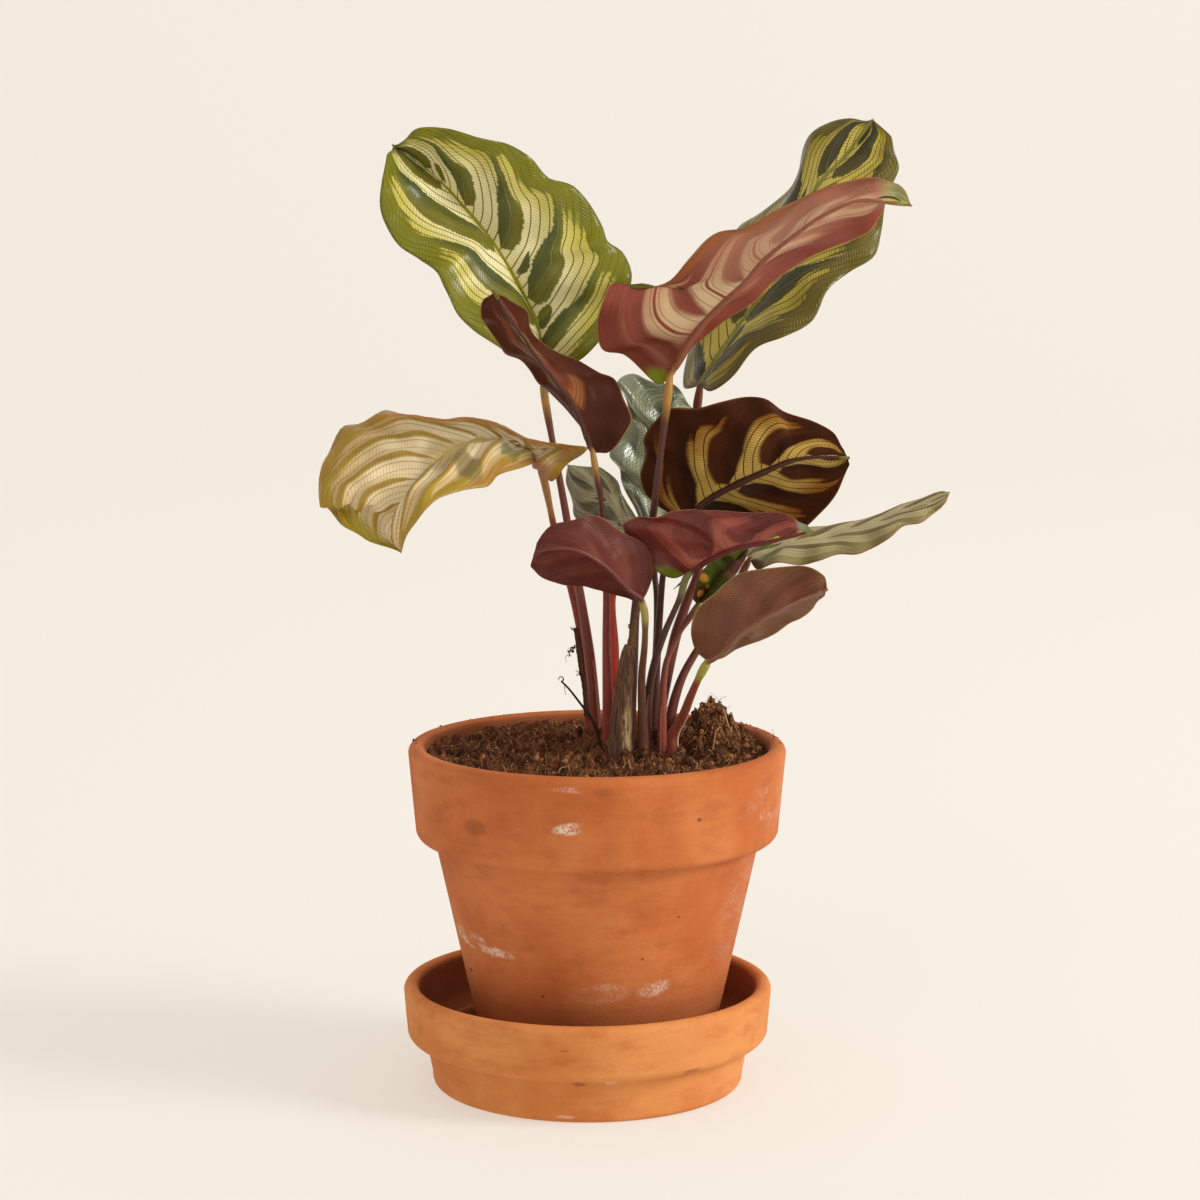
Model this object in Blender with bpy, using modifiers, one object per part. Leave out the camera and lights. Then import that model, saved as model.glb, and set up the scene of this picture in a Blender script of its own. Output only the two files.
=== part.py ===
"""A potted calathea: thirteen patterned leaves in a flowerpot on its saucer.

Lengths are millimetres, measured from the middle of the saucer's underside: x to the
right, y away from the viewer, z up. The leaves' lines are picked on the photograph and
worked out in millimetres by the formula of its camera.
"""

import math

import bmesh
import bpy
import numpy as np

MM = 0.001
GAP = 0.3

POT_AXIS_X = 3.6
POT_RIM_TOP = 129.1
POT_RIM_RADIUS = 70.2
POT_BAND_FOOT_RADIUS = 67.6
POT_BAND_FOOT = 97.5
POT_TAPER = 0.222
POT_BODY_RADIUS_AT_BAND = 60.2
POT_BODY_TOP = 91.5
POT_WALL = 6.5
POT_FLOOR = 8.0
DRAIN_RADIUS = 9.0
POT_STEPS = 36

SAUCER_RIM_TOP = 38.4
SAUCER_RIM_RADIUS = 68.9
SAUCER_WALL = 5.8
SAUCER_BASE_RADIUS = 55.4
SAUCER_FLOOR = 6.2
SAUCER_STEPS = 36

SOIL_LEVEL = 125.8
HOLE_FLOOR = 115.7
STALK_FOOT = 116.0
STALK_STRAIGHT_TOP = 133.0
STALK_GROUND = 128.0
STALK_RADII = ((0.0, 1.0), (0.04, 1.3), (0.1, 1.25), (0.16, 1.0), (0.6, 1.45), (0.86, 2.1), (1.0, 2.1))
STALK_WIDEST = 2.1
HOLE_CLEARANCE = 0.7
BLADE_THICKNESS = 0.8
RIB_RADII = ((0.0, 1.0), (0.5, 0.8), (0.92, 0.5))

# Clump of stalks and the crumbly heap beside it: centre x, y, spread x, spread y, height.
SOIL_HEAPS = ((15.0, 10.0, 17.0, 17.0, 5.0), (46.0, 12.0, 8.5, 11.0, 15.0))

# The camera that took the photograph, fitted by a least-squares search to the ellipses of
# the pot's rim and the saucer's rim and foot. The picture is 1200 pixels wide and high.
CAMERA_X = 4.7
CAMERA_AWAY = 1200.0
CAMERA_HEIGHT = 356.9
CAMERA_PITCH = 8.274
FOCAL_PIXELS = 3279.1
PHOTO_MIDDLE = 600.0

# Each leaf as picked by hand on the photograph: pixels from the left and from the top, then
# the judged depth in millimetres behind the middle of the pot. The rib runs from the stalk
# to the tip, left and right are the margins seen from above with the tip ahead, the stalk is
# below the blade, and foot is where it enters the soil. wave is each margin's wave in
# millimetres, girth the stalk's share of its full width, size and waves belong to the grid.
LEAF_PICKS = {
    "leaf_back_left": dict(
        rib=[(544, 372, 12), (536, 325, 13), (514, 279, 15), (473, 219, 18), (433, 175, 20),
             (390, 141, 18)],
        left=[(524, 362, -4), (505, 352, -9.8), (461, 319, -11.5), (447, 291, -11), (438, 270),
              (418, 260, -6), (398, 245, -3), (385, 221, 0), (381, 196, 2), (384, 166, 7)],
        right=[(578, 361, 1), (599, 341, 2), (620, 308, 6), (630, 276, 9), (625, 251, 12), (610, 242),
               (601, 227, 16), (576, 185, 15), (548, 177), (526, 155, 10), (506, 142, 9),
               (477, 138, 8), (443, 129, 9), (418, 129, 11), (403, 139, 14)],
        stalk=[(543, 390, 12), (548, 409, 11), (566, 514, 12), (588, 641, 19)],
        foot=(596, 735, 20), wave=(-1.4, 1.6), girth=1.2, size=(13, 8), waves=4),
    "leaf_curled": dict(
        rib=[(593, 451, -14), (573, 405, -26), (544, 365, -38), (515, 325, -50), (492, 289, -56)],
        left=[(608, 451, -7), (623, 437, -6), (632, 418, -7), (624, 397, -9), (615, 379, -11),
              (598, 372), (580, 361, -16), (560, 354), (543, 342, -25), (531, 329), (527, 312, -39),
              (512, 301, -47)],
        right=[(585, 433, -8), (553, 395, -11), (538, 384), (529, 369, -18), (521, 359),
               (505, 353, -26), (496, 341), (489, 329, -38), (481, 319, -44), (482, 305, -50)],
        stalk=[(594, 468, -15), (600, 501, -14), (606, 589, -4), (607, 641, 0)],
        foot=(608, 743, 3), wave=(0.8, -0.8), girth=1, size=(11, 6), waves=3),
    "leaf_front_right_tall": dict(
        rib=[(670, 375, -18), (696, 332, -26), (736, 291, -34), (780, 246, -40), (849, 204, -44),
             (917, 207, -40)],
        left=[(677, 368, -12), (690, 351, -6), (705, 335, -3), (722, 323, -5), (748, 306),
              (776, 279, -13), (801, 263), (833, 246, -22), (857, 239), (872, 232, -28),
              (881, 213, -31), (887, 196, -33)],
        right=[(660, 386, -13), (622, 354, -16), (601, 350, -18), (594, 328, -19), (600, 302, -21),
               (613, 284, -21), (638, 288, -20), (665, 283, -18), (690, 259, -18), (714, 234, -18),
               (745, 226, -18), (780, 207, -21), (810, 193, -23), (843, 184, -27), (872, 177, -30),
               (896, 182, -34), (911, 190, -38)],
        stalk=[(667, 400, -19), (658, 471, -15), (652, 516, -11), (644, 560, -7), (637, 605, -4),
               (633, 650, -1)],
        foot=(630, 741, 1.5), wave=(1, -1.2), girth=1.2, size=(13, 8), waves=4),
    "leaf_back_right_tall": dict(
        rib=[(700, 386, 20), (724, 348, 22), (762, 296, 26), (815, 191, 34), (847, 155, 38),
             (876, 115, 40)],
        left=[(683, 386, 32), (691, 339, 42), (709, 280, 48), (737, 226, 53), (760, 213),
              (780, 199, 55), (794, 186), (800, 170), (803, 148, 53), (813, 132), (838, 120, 47),
              (861, 117, 43)],
        right=[(712, 391, 10), (735, 377, 5), (757, 350, 2), (785, 339), (810, 322, 3), (828, 290, 10),
               (850, 273), (873, 256), (880, 230, 25), (887, 203), (898, 170, 31), (893, 150),
               (890, 134, 35), (885, 122, 38)],
        stalk=[(697, 407, 22), (694, 449, 23), (699, 566, 24), (686, 605, 24), (675, 639, 24)],
        foot=(659, 732, 25), wave=(1.2, 1.4), girth=1.3, size=(13, 8), waves=4),
    "leaf_left_drooping": dict(
        rib=[(537, 462, 0), (513, 444, -6), (474, 441, -18), (439, 461, -28), (399, 514, -38),
             (403, 557, -40)],
        left=[(529, 466, -13), (500, 476, -30), (485, 485, -38), (442, 496, -52), (426, 510, -56),
              (414, 525, -56), (402, 545, -50)],
        right=[(552, 483, -7), (568, 465, -8), (587, 449, -3), (566, 445, 1), (530, 441, 5),
               (510, 431, 7), (495, 423, 8), (468, 420, 8), (444, 424, 6), (424, 419, 4),
               (388, 412, 0), (376, 413, -2), (360, 424, -5), (343, 428, -8), (329, 447, -15),
               (321, 471, -22), (313, 486, -27), (320, 506, -32), (328, 508, -30), (342, 524, -34),
               (362, 538, -38), (384, 550, -40)],
        stalk=[(544, 480, 3), (559, 545, 16), (571, 590, 23), (581, 640, 27)],
        foot=(590, 730, 30), wave=(-1, 1.6), girth=1.2, size=(13, 8), waves=3),
    "leaf_right_broad": dict(
        rib=[(682, 521, 6), (712, 498, 2), (751, 478, -4), (801, 459, -12), (851, 459, -18)],
        left=[(700, 544, 17), (745, 545, 16), (806, 527, 5), (834, 495, -3), (849, 468, -10)],
        right=[(648, 497, 13), (641, 477, 13), (646, 455, 11), (643, 438, 8), (653, 422, 5),
               (668, 408, 2), (697, 409, 0), (718, 401, -1), (744, 396, -1), (765, 400, 0),
               (784, 413, 0), (815, 421, -1), (833, 431, -5), (841, 446, -9)],
        stalk=[(673, 545, 8), (665, 562, 9), (661.5, 580, 9.5), (660.5, 612, 9.5), (657, 655, 9.5)],
        foot=(653, 740, 9.5), wave=(0.8, 1), girth=1.1, size=(11, 6), waves=3),
    "leaf_front_middle": dict(
        rib=[(691, 571, -14), (708, 561, -22), (737, 548, -32), (778, 540, -42), (817, 530, -48)],
        left=[(673, 589, -4), (690, 574, -4), (712, 557, -6), (749, 543, -16), (790, 537, -32)],
        right=[(672, 579, -11), (656, 571, -12), (640, 550, -13), (623, 527, -16), (638, 519, -19),
               (655, 516, -22), (672, 509, -25), (700, 509, -25), (737, 512, -26), (783, 514, -34),
               (800, 521, -39), (813, 526, -44)],
        stalk=[(687, 578, -13), (680, 598, -12), (666, 630, -10), (656, 660, -8), (649, 688, -6)],
        foot=(646.5, 742, -4), wave=(0, 0.6), girth=1.1, size=(11, 6), waves=3),
    "leaf_front_left_small": dict(
        rib=[(642, 602, -22), (623, 585, -28), (604, 565, -34), (576, 549, -38), (548, 549, -37),
             (531, 556, -33)],
        left=[(649, 586, -16), (654, 566, -17), (646, 546, -17), (624, 532, -21), (603, 517, -24),
              (590, 514, -25), (574, 522, -27), (548, 527, -28), (536, 543, -30)],
        right=[(630, 600, -17), (590, 588, -21), (550, 581, -28), (532, 566, -31)],
        stalk=[(644, 616, -22), (645, 644, -19), (643, 679, -13)],
        foot=(643, 750, -10), wave=(0.4, 0), girth=1.1, size=(9, 6), waves=2),
    "leaf_front_right_low": dict(
        rib=[(708, 661, -22), (722, 652, -26), (745, 630, -31), (785, 607, -36), (831, 589, -38)],
        left=[(721, 657, -15), (746, 645, -15), (763, 640, -17), (806, 613, -25), (821, 600, -31)],
        right=[(697, 650, -17), (692, 630, -20), (698, 609, -22), (713, 591, -25), (736, 577, -27),
               (765, 569, -28), (797, 565, -29), (815, 569, -31), (826, 580, -34)],
        stalk=[(700, 678, -20), (691, 697, -15), (682, 718, -10)],
        foot=(673, 748, -7), wave=(0.3, 0.5), girth=1.3, size=(9, 6), waves=2),
    "leaf_far_right": dict(
        rib=[(749, 560, 26), (791, 545, 30), (843, 533, 34), (904, 511, 36), (955, 491, 34)],
        left=[(746, 549, 35), (789, 535, 44), (818, 528, 48), (843, 527, 50), (869, 520, 50),
              (892, 514, 49), (909, 506, 47), (927, 500, 44), (943, 492, 40)],
        right=[(758, 569, 19), (777, 564, 17), (801, 566, 17), (820, 561, 17), (838, 554, 18),
               (858, 554, 19), (873, 549, 19), (890, 538, 20), (905, 527, 22), (920, 523, 24),
               (933, 515, 27), (944, 506, 29)],
        stalk=[(737, 586, 27), (717, 623, 26), (697, 652, 24), (681, 683, 21)],
        foot=(669, 736, 18), wave=(1.2, 1), girth=1.1, size=(11, 6), waves=3),
    "leaf_back_middle": dict(
        rib=[(651, 548, 22), (657, 510, 25), (662, 469, 28), (675, 435, 29), (697, 408, 28)],
        left=[(638, 516, 24), (622, 485, 24), (619, 470, 24), (609, 452, 22), (626, 432, 22),
              (630, 418, 23), (624, 396, 22), (617, 381, 19), (632, 375, 22), (654, 383, 25),
              (674, 385, 27)],
        right=[(672, 546, 35), (693, 520, 42), (706, 481, 43), (711, 440, 40), (707, 415, 35)],
        stalk=[(653, 572, 22), (656, 595, 20), (656.5, 645, 18)],
        foot=(652.3, 737, 17.5), wave=(2.2, 1.5), girth=1.1, size=(11, 6), waves=2),
    "leaf_back_small": dict(
        rib=[(636, 544, 11), (625, 521, 14), (606, 494, 17), (585, 477, 19), (566, 465, 19)],
        left=[(609, 544, 19), (577, 519, 22), (569, 492, 24), (566, 474, 23)],
        right=[(641, 533, 12), (636, 517, 14), (622, 495, 17), (616, 480, 18), (600, 468, 20),
               (582, 465, 21)],
        stalk=[(627, 563, 12), (616, 582, 13), (612, 600, 14), (613, 650, 14)],
        foot=(613, 738, 14), wave=(0, 1), girth=1.45, size=(9, 4), waves=2),
    "leaf_nibbled": dict(
        rib=[(698, 605, 4), (709, 594, 4), (722, 575, 4), (736, 562, 4), (750, 546, 3)],
        left=[(693, 598, 1), (701, 573, 0), (715, 558, 0), (736, 550, 0)],
        right=[(709, 599, -2), (726, 584, -4), (739, 570, -3), (747, 556, -1)],
        stalk=[(689, 617, 5), (679, 633, 4), (666, 666, 2)],
        foot=(662, 742, 1), wave=(0, 0), girth=1, size=(7, 4), waves=1),
}

# The papery dry sheath of a lost leaf, and a dead flower stalk bent over the soil.
SHEATH = [(15, -14, 168), (14.6, -13, 160), (13.6, -11, 150), (12.6, -9.8, 138)]
SHEATH_FOOT = (12.2, -9.5)
SHEATH_RADII = ((0.0, 1.5), (0.15, 3.4), (0.4, 4.0), (0.75, 4.2), (1.0, 4.2))
TWIG = [(-9.5, -4, 152.5), (-7, -4, 150), (-3, -5, 145), (2, -6, 138)]
TWIG_FOOT = (5.0, -7.0)
TWIG_RADII = ((0.0, 0.6), (1.0, 0.8))

LEAF_COLOUR = (0.16, 0.22, 0.06)
TERRACOTTA = (0.62, 0.24, 0.09)
TERRACOTTA_PALE = (0.70, 0.32, 0.12)
SOIL_COLOUR = (0.07, 0.035, 0.02)
DRY_COLOUR = (0.20, 0.13, 0.08)


def seen_at(px, py, depth):
    """The point in millimetres that the photograph shows at a pixel, at a judged depth."""
    away = CAMERA_AWAY + depth
    slope = (PHOTO_MIDDLE - py) / FOCAL_PIXELS
    lean = math.radians(CAMERA_PITCH)
    rise = away * (slope * math.cos(lean) - math.sin(lean)) / (math.cos(lean) + slope * math.sin(lean))
    distance = away * math.cos(lean) - rise * math.sin(lean)
    return (CAMERA_X + (px - PHOTO_MIDDLE) / FOCAL_PIXELS * distance, depth, CAMERA_HEIGHT + rise)


def picked_line(picks, wave=0.0):
    """Whole millimetres along the picks. A pick with no depth lies evenly between its neighbours,
    and a margin waves to and fro in depth between its ends."""
    run = [0.0]
    for before, after in zip(picks, picks[1:]):
        run.append(run[-1] + math.hypot(after[0] - before[0], after[1] - before[1]))
    judged = [i for i, pick in enumerate(picks) if len(pick) == 3]
    depths = np.interp(run, [run[i] for i in judged], [picks[i][2] for i in judged])
    for i in range(1, len(picks) - 1):
        depths[i] += wave * (-1) ** i
    points = [seen_at(pick[0], pick[1], depth) for pick, depth in zip(picks, depths)]
    return [tuple(round(float(c)) for c in point) for point in points]


def measured(picks):
    """A leaf's lines in millimetres, worked out from its picks."""
    leaf = dict(picks)
    foot = seen_at(*picks["foot"])
    leaf["foot"] = (round(foot[0], 1), foot[1])
    leaf["rib"] = picked_line(picks["rib"])
    leaf["stalk"] = picked_line(picks["stalk"])
    leaf["left"] = picked_line(picks["left"], picks["wave"][0])
    leaf["right"] = picked_line(picks["right"], picks["wave"][1])
    return leaf


LEAVES = {name: measured(picks) for name, picks in LEAF_PICKS.items()}


def clear_scene():
    for item in list(bpy.data.objects):
        bpy.data.objects.remove(item, do_unlink=True)


def new_collection(name):
    collection = bpy.data.collections.new(name)
    bpy.context.scene.collection.children.link(collection)
    return collection


def material(name, colour, roughness):
    made = bpy.data.materials.new(name)
    made.use_nodes = True
    shader = made.node_tree.nodes["Principled BSDF"]
    shader.inputs["Base Color"].default_value = (*colour, 1.0)
    shader.inputs["Roughness"].default_value = roughness
    shader.inputs["Metallic"].default_value = 0.0
    return made


def arc(centre_r, centre_z, radius, start, end, steps):
    """Points of a profile arc, angles in degrees from straight out towards up."""
    points = []
    for i in range(steps + 1):
        angle = math.radians(start + (end - start) * i / steps)
        points.append((centre_r + radius * math.cos(angle), centre_z + radius * math.sin(angle)))
    return points


def blend_table(table, t):
    """Value at t along a table of (place, value) pairs."""
    return float(np.interp(t, [row[0] for row in table], [row[1] for row in table]))


def smooth_curve(points, places):
    """Points of a smooth curve through the given points, at places from 0 to 1."""
    p = np.asarray(points, float)
    knots = np.concatenate([[0.0], np.cumsum(np.linalg.norm(np.diff(p, axis=0), axis=1))])
    knots /= knots[-1]
    last = len(p) - 1
    slopes = np.empty_like(p)
    for i in range(last + 1):
        before = max(i - 1, 0)
        after = min(i + 1, last)
        slopes[i] = (p[after] - p[before]) / (knots[after] - knots[before])
    out = []
    for place in places:
        i = min(max(int(np.searchsorted(knots, place, side="right")) - 1, 0), last - 1)
        h = knots[i + 1] - knots[i]
        s = (place - knots[i]) / h
        out.append((2 * s**3 - 3 * s**2 + 1) * p[i] + (s**3 - 2 * s**2 + s) * h * slopes[i]
                   + (3 * s**2 - 2 * s**3) * p[i + 1] + (s**3 - s**2) * h * slopes[i + 1])
    return np.array(out)


def add_object(name, mesh, collection, finish):
    made = bpy.data.objects.new(name, mesh)
    collection.objects.link(made)
    mesh.materials.clear()
    mesh.materials.append(finish)
    return made


def turned(name, profile, closed, steps, axis_x, collection, finish):
    """A profile of (radius, height) points turned about the vertical at axis_x."""
    mesh = bpy.data.meshes.new(name)
    verts = [(r * MM, 0.0, z * MM) for r, z in profile]
    edges = [(i, i + 1) for i in range(len(verts) - 1)]
    if closed:
        edges.append((len(verts) - 1, 0))
    mesh.from_pydata(verts, edges, [])
    made = add_object(name, mesh, collection, finish)
    made.location.x = axis_x * MM
    screw = made.modifiers.new("turn", "SCREW")
    screw.axis = "Z"
    screw.angle = math.tau
    screw.steps = steps
    screw.render_steps = steps
    screw.use_merge_vertices = True
    screw.merge_threshold = 0.00005
    screw.use_smooth_shade = True
    return made


def as_mesh(item, collection):
    """The object with its modifiers or its curve turned into a plain mesh."""
    name = item.name
    finish = item.data.materials[0]
    bpy.context.view_layer.update()
    evaluated = item.evaluated_get(bpy.context.evaluated_depsgraph_get())
    mesh = bpy.data.meshes.new_from_object(evaluated)
    form = bmesh.new()
    form.from_mesh(mesh)
    bmesh.ops.remove_doubles(form, verts=form.verts, dist=0.00001)
    form.to_mesh(mesh)
    form.free()
    place = item.matrix_world.copy()
    bpy.data.objects.remove(item, do_unlink=True)
    made = add_object(name, mesh, collection, finish)
    made.matrix_world = place
    return made


def tube(name, points, radii, collection, finish):
    """A round bar along the points, with a radius at each, as a closed mesh."""
    curve = bpy.data.curves.new(name, "CURVE")
    curve.dimensions = "3D"
    curve.bevel_depth = MM
    curve.bevel_resolution = 1
    curve.use_fill_caps = True
    curve.materials.append(finish)
    line = curve.splines.new("POLY")
    line.points.add(len(points) - 1)
    for point, place, radius in zip(line.points, points, radii):
        point.co = (*[c * MM for c in place], 1.0)
        point.radius = radius
    made = bpy.data.objects.new(name, curve)
    collection.objects.link(made)
    return as_mesh(made, collection)


def boolean(target, other, operation, solver="EXACT"):
    """Join or cut the target by the other solid, and apply the result."""
    step = target.modifiers.new(operation.lower(), "BOOLEAN")
    step.operation = operation
    step.solver = solver
    step.object = other
    collection = target.users_collection[0]
    made = as_mesh(target, collection)
    bpy.data.objects.remove(other, do_unlink=True)
    return made


def pot_body_radius(height):
    return POT_BODY_RADIUS_AT_BAND - POT_TAPER * (POT_BODY_TOP - height)


def pot_profile():
    """Rim band, undercut, tapered body and drain hole, down the outside and up the inside."""
    foot = SAUCER_FLOOR + GAP
    lip = POT_WALL / 2
    inner_rim = POT_RIM_RADIUS - POT_WALL
    floor_top = foot + POT_FLOOR
    outer = arc(POT_RIM_RADIUS - lip, POT_RIM_TOP - lip, lip, 90, 0, 2)
    outer += [(POT_BAND_FOOT_RADIUS, POT_BAND_FOOT)]
    outer += arc(POT_BAND_FOOT_RADIUS - 4, POT_BAND_FOOT, 4, -30, -90, 2)
    outer += [(POT_BODY_RADIUS_AT_BAND + 1, POT_BODY_TOP + 1.2), (POT_BODY_RADIUS_AT_BAND, POT_BODY_TOP)]
    outer += [(pot_body_radius(foot + 2), foot + 2), (pot_body_radius(foot) - 1.5, foot), (DRAIN_RADIUS, foot)]
    inner = [(DRAIN_RADIUS, floor_top), (pot_body_radius(floor_top) - POT_WALL - 2, floor_top)]
    inner += [(pot_body_radius(floor_top + 2) - POT_WALL, floor_top + 2)]
    inner += [(pot_body_radius(POT_BODY_TOP) - POT_WALL, POT_BODY_TOP - 2), (inner_rim - 1.5, POT_BAND_FOOT)]
    inner += arc(POT_RIM_RADIUS - lip, POT_RIM_TOP - lip, lip, 180, 90, 2)[:-1]
    return outer + inner


def make_pot(collection, finish):
    return turned("pot", pot_profile(), True, POT_STEPS, POT_AXIS_X, collection, finish)


def saucer_profile():
    """Floor, inner wall, rounded rim, band, undercut and foot, from the middle outwards and back."""
    lip = SAUCER_WALL / 2
    rim = SAUCER_RIM_RADIUS - lip
    profile = [(0, SAUCER_FLOOR), (50, SAUCER_FLOOR), (53, SAUCER_FLOOR + 2), (55, 17), (61, 20)]
    profile += arc(rim, SAUCER_RIM_TOP - lip, lip, 180, 0, 4)
    profile += [(SAUCER_RIM_RADIUS - 1.2, 22)]
    profile += arc(SAUCER_RIM_RADIUS - 4.7, 21.0, 3.5, -20, -90, 2)
    profile += [(61.2, 17.0), (60.3, 15.5), (58.2, 4), (SAUCER_BASE_RADIUS, 0), (0, 0)]
    return profile


def make_saucer(collection, finish):
    return turned("saucer", saucer_profile(), False, SAUCER_STEPS, 0.0, collection, finish)


def soil_height(x, y):
    """Height of the crumbly surface over a place in the pot, x from the floor's origin."""
    height = SOIL_LEVEL
    for centre_x, centre_y, spread_x, spread_y, rise in SOIL_HEAPS:
        away = ((x - centre_x) / spread_x) ** 2 + ((y - centre_y) / spread_y) ** 2
        height += rise * math.exp(-away / 2)
    lumps = math.sin(0.41 * x + 0.9) * math.sin(0.37 * y + 0.4) + 0.6 * math.sin(0.73 * x - 0.66 * y)
    return height + 1.2 * lumps


def soil_profile():
    """Rings of the surface from the middle out, then down the pot's inside."""
    foot = SAUCER_FLOOR + GAP + POT_FLOOR + GAP
    profile = [(r, SOIL_LEVEL) for r in (0, 7, 14, 21, 28, 35, 42, 49, 56)]
    rim = POT_RIM_RADIUS - POT_WALL - GAP
    profile += [(rim, SOIL_LEVEL), (rim - 1.5, POT_BAND_FOOT + 0.5)]
    profile += [(pot_body_radius(POT_BODY_TOP) - POT_WALL - GAP, POT_BODY_TOP - 2)]
    profile += [(pot_body_radius(foot + 2) - POT_WALL - GAP - 0.2, foot + 2)]
    profile += [(pot_body_radius(foot) - POT_WALL - 3, foot), (0, foot)]
    return profile


def make_soil(collection, cutters, finish):
    soil = as_mesh(turned("soil", soil_profile(), False, 36, POT_AXIS_X, collection, finish), collection)
    edge = (POT_RIM_RADIUS - POT_WALL - 2) * MM
    for vert in soil.data.vertices:
        if vert.co.z < SOIL_LEVEL * MM - 0.0001:
            continue
        height = soil_height(vert.co.x / MM + POT_AXIS_X, vert.co.y / MM)
        away = math.hypot(vert.co.x, vert.co.y)
        vert.co.z = (SOIL_LEVEL + (height - SOIL_LEVEL) * (0.3 if away > edge else 1.0)) * MM
    feet = [(leaf["foot"], STALK_WIDEST) for leaf in LEAVES.values()]
    feet += [(SHEATH_FOOT, SHEATH_RADII[-1][1]), (TWIG_FOOT, TWIG_RADII[-1][1])]
    for (x, y), radius in feet:
        bpy.ops.mesh.primitive_cylinder_add(
            vertices=8, radius=(radius + HOLE_CLEARANCE) * MM, depth=40 * MM,
            location=(x * MM, y * MM, (HOLE_FLOOR + 20) * MM))
        hole = bpy.context.object
        hole.name = "stalk_hole"
        hole.data.materials.append(finish)
        for owner in list(hole.users_collection):
            owner.objects.unlink(hole)
        cutters.objects.link(hole)
        hole.hide_render = True
        hole.display_type = "WIRE"
        bpy.context.view_layer.update()
        soil = boolean(soil, hole, "DIFFERENCE")
    return soil


def leaf_grid(leaf):
    """Rows of points across the blade, from the left margin over the rib to the right one."""
    along, across = leaf["size"]
    half = across // 2
    steps = np.linspace(0.0, 1.0, along + 1)
    places = 0.015 + 0.97 * (0.45 * steps + 0.55 * (0.5 - 0.5 * np.cos(np.pi * steps)))
    rib = smooth_curve(leaf["rib"], places)
    ahead = np.gradient(rib, axis=0)
    ahead /= np.linalg.norm(ahead, axis=1)[:, None]
    halves = []
    for side, turn in (("left", 1.0), ("right", -1.0)):
        ends = [leaf["rib"][0]] + leaf[side] + [leaf["rib"][-1]]
        margin = smooth_curve(ends, places)
        reach = margin - rib
        upward = turn * np.cross(ahead, reach)
        columns = []
        for j in range(half + 1):
            v = j / half
            arch = 0.45 * v * (1 - v)
            ripple = 0.14 * v**2 * (1 - v) * np.sin(math.tau * leaf["waves"] * places + turn)
            columns.append(rib + reach * v + upward * (arch + ripple[:, None]))
        halves.append(columns)
    rows = halves[0][::-1] + halves[1][1:]
    return np.stack(rows, axis=1), rib


def make_blade(name, leaf, collection, finish):
    """The thin blade: a grid bent over the rib and out to both margins."""
    along, across = leaf["size"]
    points, rib = leaf_grid(leaf)
    form = bmesh.new()
    bmesh.ops.create_grid(form, x_segments=across, y_segments=along, size=1.0)
    for vert in form.verts:
        column = round((vert.co.x + 1) / 2 * across)
        row = round((vert.co.y + 1) / 2 * along)
        vert.co = points[row][column] * MM
    bmesh.ops.triangulate(form, faces=form.faces)
    mesh = bpy.data.meshes.new(name)
    form.to_mesh(mesh)
    form.free()
    blade = add_object(name, mesh, collection, finish)
    thick = blade.modifiers.new("thickness", "SOLIDIFY")
    thick.thickness = BLADE_THICKNESS * MM
    thick.offset = 0.0
    return as_mesh(blade, collection), rib


def under_side(leaf, rib):
    """Unit vectors from the rib towards the blade's underside."""
    ahead = np.gradient(rib, axis=0)
    left = np.array(leaf["left"][len(leaf["left"]) // 2], float)
    right = np.array(leaf["right"][len(leaf["right"]) // 2], float)
    down = np.cross(ahead, left - right)
    return -down / np.linalg.norm(down, axis=1)[:, None]


def make_leaf(name, leaf, collection, finish):
    """One leaf as it grew: blade, rib and stalk in one body."""
    blade, rib = make_blade(name, leaf, collection, finish)
    foot_x, foot_y = leaf["foot"]
    below = [(foot_x, foot_y, z) for z in (STALK_STRAIGHT_TOP, STALK_GROUND, STALK_FOOT)]
    stalk = smooth_curve([leaf["rib"][0]] + leaf["stalk"] + below, np.linspace(0, 1, 12))
    widths = [leaf["girth"] * blend_table(STALK_RADII, i / 11) for i in range(12)]
    stalk_radii = [min(width, STALK_WIDEST) for width in widths]
    lowered = rib + 0.4 * under_side(leaf, rib)
    keep = list(range(1, len(rib) - 2, 2))
    bar = np.vstack([lowered[keep][::-1], stalk])
    rib_radii = [blend_table(RIB_RADII, i / (len(rib) - 1)) for i in keep][::-1]
    stem = tube(name + "_stem", bar, rib_radii + stalk_radii, collection, finish)
    made = boolean(blade, stem, "UNION", "MANIFOLD")
    made.name = name
    made.data.shade_smooth()
    made.data.set_sharp_from_angle(angle=math.radians(60))
    return made


def make_dry_piece(name, points, foot, radii, collection, finish):
    below = [(foot[0], foot[1], z) for z in (STALK_GROUND, STALK_FOOT)]
    line = smooth_curve(points + below, np.linspace(0, 1, 9))
    sizes = [blend_table(radii, i / 8) for i in range(9)]
    made = tube(name, line, sizes, collection, finish)
    made.data.shade_smooth()
    return made


def main():
    clear_scene()
    parts = new_collection("potted_calathea")
    cutters = new_collection("cutters")
    leaf_finish = material("calathea_leaf", LEAF_COLOUR, 0.45)
    make_saucer(parts, material("terracotta_saucer", TERRACOTTA_PALE, 0.85))
    make_pot(parts, material("terracotta_pot", TERRACOTTA, 0.85))
    make_soil(parts, cutters, material("potting_soil", SOIL_COLOUR, 0.95))
    for name, leaf in LEAVES.items():
        make_leaf(name, leaf, parts, leaf_finish)
    dry = material("dry_sheath", DRY_COLOUR, 0.8)
    make_dry_piece("dry_sheath", SHEATH, SHEATH_FOOT, SHEATH_RADII, parts, dry)
    make_dry_piece("dead_stalk", TWIG, TWIG_FOOT, TWIG_RADII, parts, dry)


main()
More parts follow.
